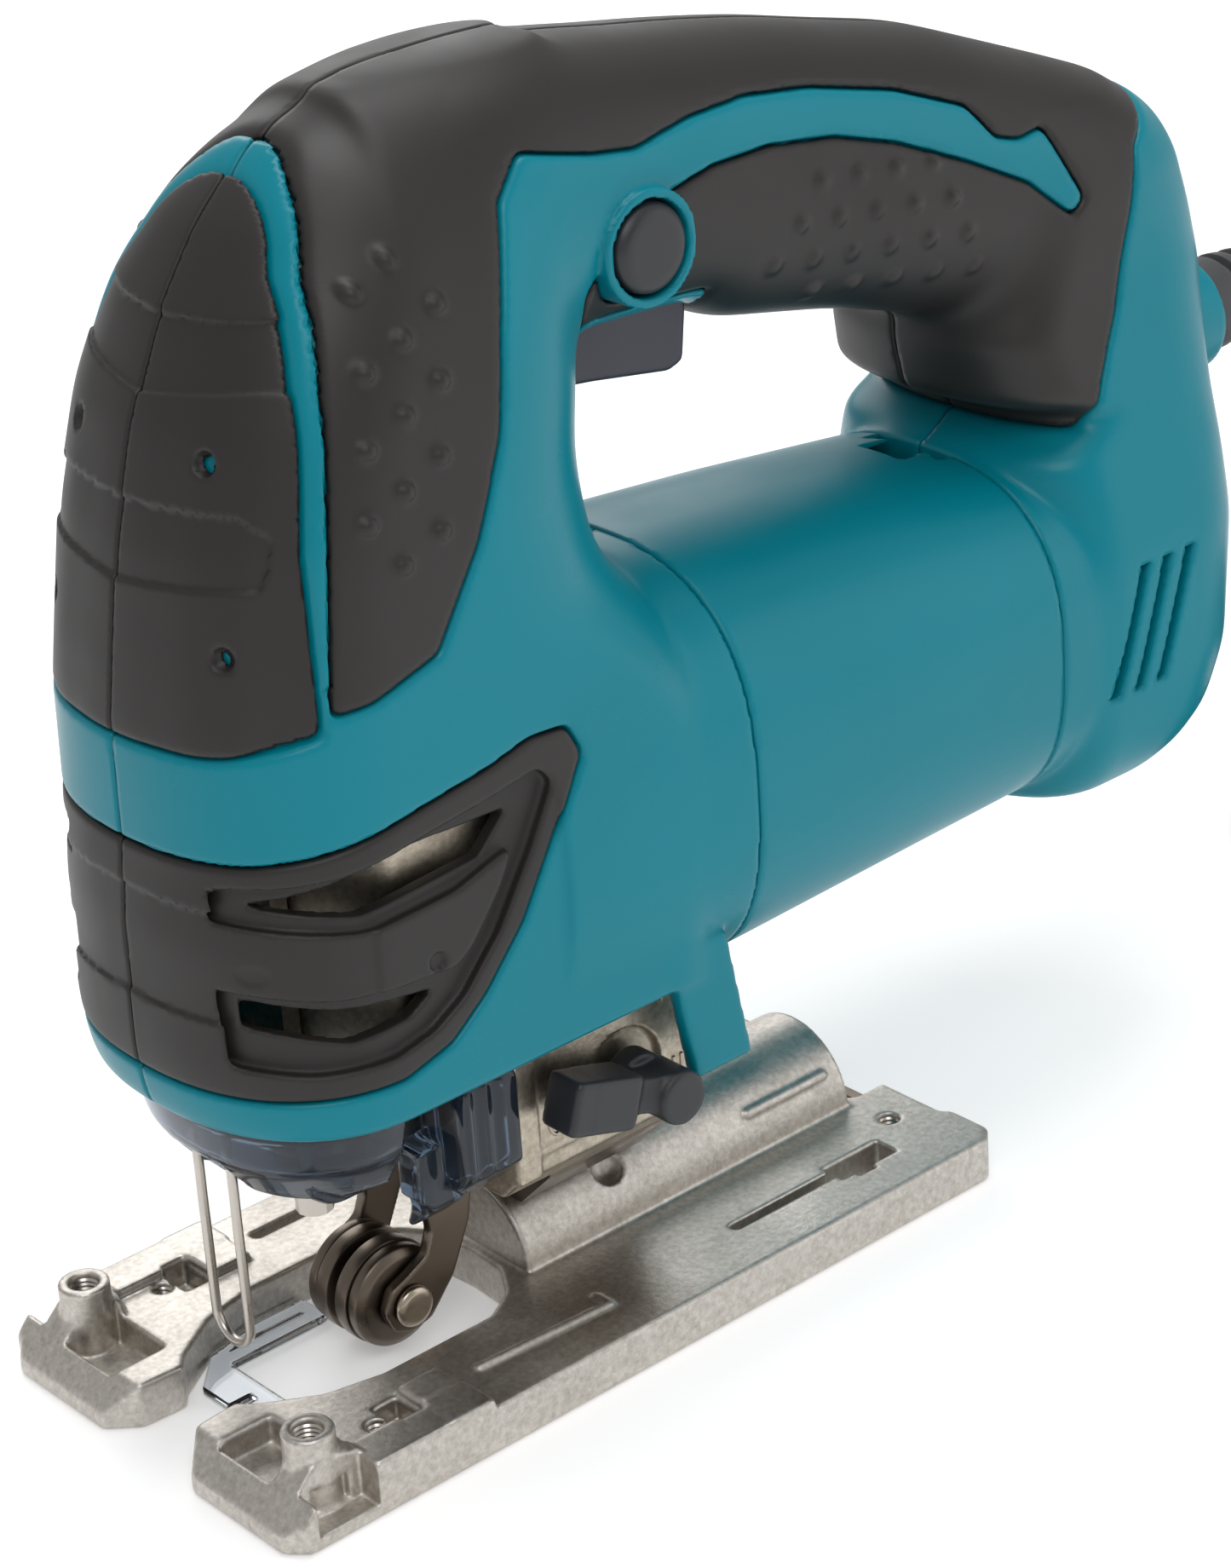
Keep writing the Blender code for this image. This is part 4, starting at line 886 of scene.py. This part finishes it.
def orbital_lever(x, y, z):
    """A thick thumb lever: a square tab that narrows into a round end, on a round hub."""
    lean = math.radians(17)
    u = (x - 76) * math.cos(lean) - (z - 45.0) * math.sin(lean)
    v = (x - 76) * math.sin(lean) + (z - 45.0) * math.cos(lean)
    tab = block(u, y, v, -13.5, 0, -34.5, -26.8, -4.6, 4.4, 1.4)
    neck = block(u, y, v, -8, 9, -33.5, -26.8, -2.6, 3.4, 1.2)
    end = both(np.hypot(u - 9.0, v) - 4.5, slab(y, -35.3, -26.5, 1.0), 1.2)
    hub = both(np.hypot(x - 82, z - 44) - 4.8, slab(y, -28.4, -24.3), 0.8)
    return union(union(union(tab, neck, 2.5), end, 3), hub, 0.8)


GEAR_PLAN = Outline([(28, -15), (38, -27), (70, -27), (77, -20), (77, 20), (70, 27), (38, 27), (28, 15)],
                    1.0)
GEAR_FOOT = Outline([(-30, 64), (24, 64), (24, 33.5), (19.5, 29), (-30, 29)], 0.3)


def gear_housing(x, y, z):
    """The gear case: the box behind the air slots and the ribbed foot that carries the base."""
    side = np.abs(y)
    foot = both(GEAR_FOOT(side, z), slab(x, 59, 96.5), 1.2)
    shape = union(foot, block(x, y, z, 46, 60, -12, 12, 34, 61, 1.0), 1)
    case = both(GEAR_PLAN(x, y), slab(z, 58.5, 146), 1.5)
    shape = union(shape, both(case, np.where(z < 65, side - 23.8, -9.0)), 1)
    tower = both(np.hypot(x - 38.5, y) - 9.4, slab(z, 140, 158))
    shape = union(shape, tower, 1)
    inside = both(both(GEAR_PLAN(x, y) + 3.0, slab(z, 62, 143)), np.where(z < 67, side - 21.5, -9.0))
    shape = without(shape, inside)
    shape = without(shape, both(np.hypot(x - 38.5, y) - 8.6, z - 66))
    shape = without(shape, both(np.hypot(x - 38.5, y) - 6.9, 130 - z))
    shape = without(shape, block(x, y, z, 44, 64, -10.6, 10.6, 20, 45))
    shape = without(shape, block(x, y, z, 62, 94, -17, 17, 40, 56))
    shape = without(shape, both(np.hypot(y, z - AXIS_Z) - 11.3, 76 - x))
    shape = without(shape, both(np.hypot(x - 82, z - 44) - 7.6, y + 22.6), 0.4)
    rail = both(slab(z, 36.6, 38.0), side - 24.5)
    shape = union(shape, both(rail, slab(x, 60, 96)), 0.8)
    step = both(both(foot - 0.7, slab(x, 59, 63.4)), slab(z, 33, 64), 0.8)
    return union(shape, step, 0.8)


def add_gear_housing():
    moulded("gear_case", gear_housing, (26, -28, 28), (98, 28, 159), STEP * 0.85, "housing",
            "cast_aluminium", LOOKS["cast_dark"], "gear_housing")
    face = -24.0
    around = np.linspace(0, 2 * math.pi, 25)
    zero = [(67.3 + 1.3 * math.cos(a), face, 41.5 + 2.3 * math.sin(a)) for a in around]
    bent("mark_zero", zero, 0.35, 8, "housing", "cast_aluminium", LOOKS["cast_dark"])
    for i in range(3):
        x = 90.6 + 1.7 * i
        bent(f"mark_three_{i + 1}", [(x, face, 39.6), (x, face, 41), (x, face, 42.6)], 0.35, 8, "housing",
             "cast_aluminium", LOOKS["cast_dark"])
    for number, (x, z) in enumerate(((75, 57), (80, 57.5), (85, 58), (70, 55), (90, 54)), 1):
        turned(f"mark_dot_{number}", "y", (x, z), [(-24.5, 0.2), (-24.4, 0.5), (-23.9, 0.8)], 12, "housing",
               "cast_aluminium", LOOKS["cast_dark"])
    moulded("orbital_selector", orbital_lever, (61, -36.5, 36), (94, -23, 55), SMALL_STEP, "orbital_lever",
            "black_plastic", LOOKS["black"], "orbital_lever")
    turned("fork_pin_end", "y", (61.8, 36.4), eased([(-24.7, 0.3), (-24.7, 1.4), (-24.3, 1.8),
                                                     (-23.8, 1.8)], 0.4), 28,
           "housing", "bright_steel", LOOKS["steel"])


# Trigger and lock button

TRIGGER = Outline([(88, 163), (88.6, 154), (89.6, 152.4), (99, 151.2), (114.6, 148.6), (117.6, 149.6),
                   (118.7, 158), (118.7, 163)], 0.5)


def trigger(x, y, z):
    return both(TRIGGER(x, z), np.abs(y) - 8.0, 2.2)


def add_trigger():
    moulded("trigger_lever", trigger, (86, -9, 147), (120, 9, 164), SMALL_STEP, "trigger", "black_plastic",
            LOOKS["trigger"], "trigger")
    face = [(-25.2, 0.4), (-25.2, 4.6), (-25.0, 5.8), (-24.1, 6.8), (-23, 7.0), (-12.2, 7.0)]
    turned("lock_on_button", "y", (BUTTON_X, BUTTON_Z), eased(face, 1.0, 5), 56, "lock_button",
           "black_plastic", LOOKS["black"], "lock_button")


# Floor and light

def add_stage():
    mesh = bpy.data.meshes.new("floor")
    reach = 6.0
    mesh.from_pydata([(-reach, -reach, -0.0002), (reach, -reach, -0.0002), (reach, reach, -0.0002),
                      (-reach, reach, -0.0002)], [], [(0, 1, 2, 3)])
    mesh.materials.append(surface("pale floor", (0.9, 0.9, 0.9, 1), 0.9, Emission_Color=(1, 1, 1, 1),
                                  Emission_Strength=0.25))
    floor = bpy.data.objects.new("floor", mesh)
    bpy.context.scene.collection.objects.link(floor)
    world = bpy.data.worlds.new("studio")
    world.use_nodes = True
    world.node_tree.nodes["Background"].inputs["Color"].default_value = (1, 1, 1, 1)
    world.node_tree.nodes["Background"].inputs["Strength"].default_value = 0.5
    bpy.context.scene.world = world
    centre = at(110, 0, 100)
    for name, place, size, power in (("key", (-0.55, -0.75, 1.1), 0.7, 5),
                                     ("side", (0.9, -0.9, 0.5), 0.9, 2.5),
                                     ("top", (0.15, 0.1, 1.3), 0.7, 7), ("back", (0.5, 1.0, 0.7), 0.8, 4)):
        data = bpy.data.lights.new(name, "AREA")
        data.shape = "SQUARE"
        data.size = size
        data.energy = power
        lamp = bpy.data.objects.new(name, data)
        lamp.location = Vector(place)
        lamp.rotation_euler = (centre - Vector(place)).to_track_quat("-Z", "Y").to_euler()
        bpy.context.scene.collection.objects.link(lamp)
    bpy.context.scene.view_settings.view_transform = "Standard"
    bpy.context.scene.view_settings.look = "None"


NODE_LOOKS = {
    "cast": ("base", "counterweight"),
    "cast_dark": ("gear_housing", "gear_cover"),
    "dark_steel": ("guide_roller", "roller_fork", "blade_clamp", "saddle_slider", "hex_key", "stator"),
    "steel": ("wire_guard", "cover_screw", "armature", "drive_gear", "gear_axle", "crank_pin", "plunger",
              "front_bearing", "rear_bearing", "base_clamp_bolt", "trigger_spring", "lock_spring",
              "roller_pin", "housing_screw_1", "housing_screw_2", "housing_screw_3", "housing_screw_4",
              "housing_screw_5"),
    "smoke": ("dust_cover", "blade_release_lever"),
    "clear": ("anti_splinter_insert",),
    "black": ("orbital_lever", "lock_button", "switch_body", "capacitor", "fan", "cord_clamp"),
    "trigger": ("trigger",),
    "cord": ("cord_guard", "cord", "cord_coil", "plug"),
    "copper": ("commutator",),
    "brass": ("brush_holder_left", "brush_holder_right", "plunger_bush_lower", "plunger_bush_upper"),
    "carbon": ("brush_left", "brush_right"),
}


def colour_nodes():
    """Gives the CAD nodes that still show their finishes."""
    for look, names in NODE_LOOKS.items():
        for name in names:
            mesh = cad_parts[name].data
            mesh.materials.clear()
            mesh.materials.append(LOOKS[look])


add_camera()
colour_nodes()
add_cord()
add_casing()
add_barrel()
add_base()
add_gear_housing()
add_roller()
add_clear_parts()
add_trigger()
add_stage()
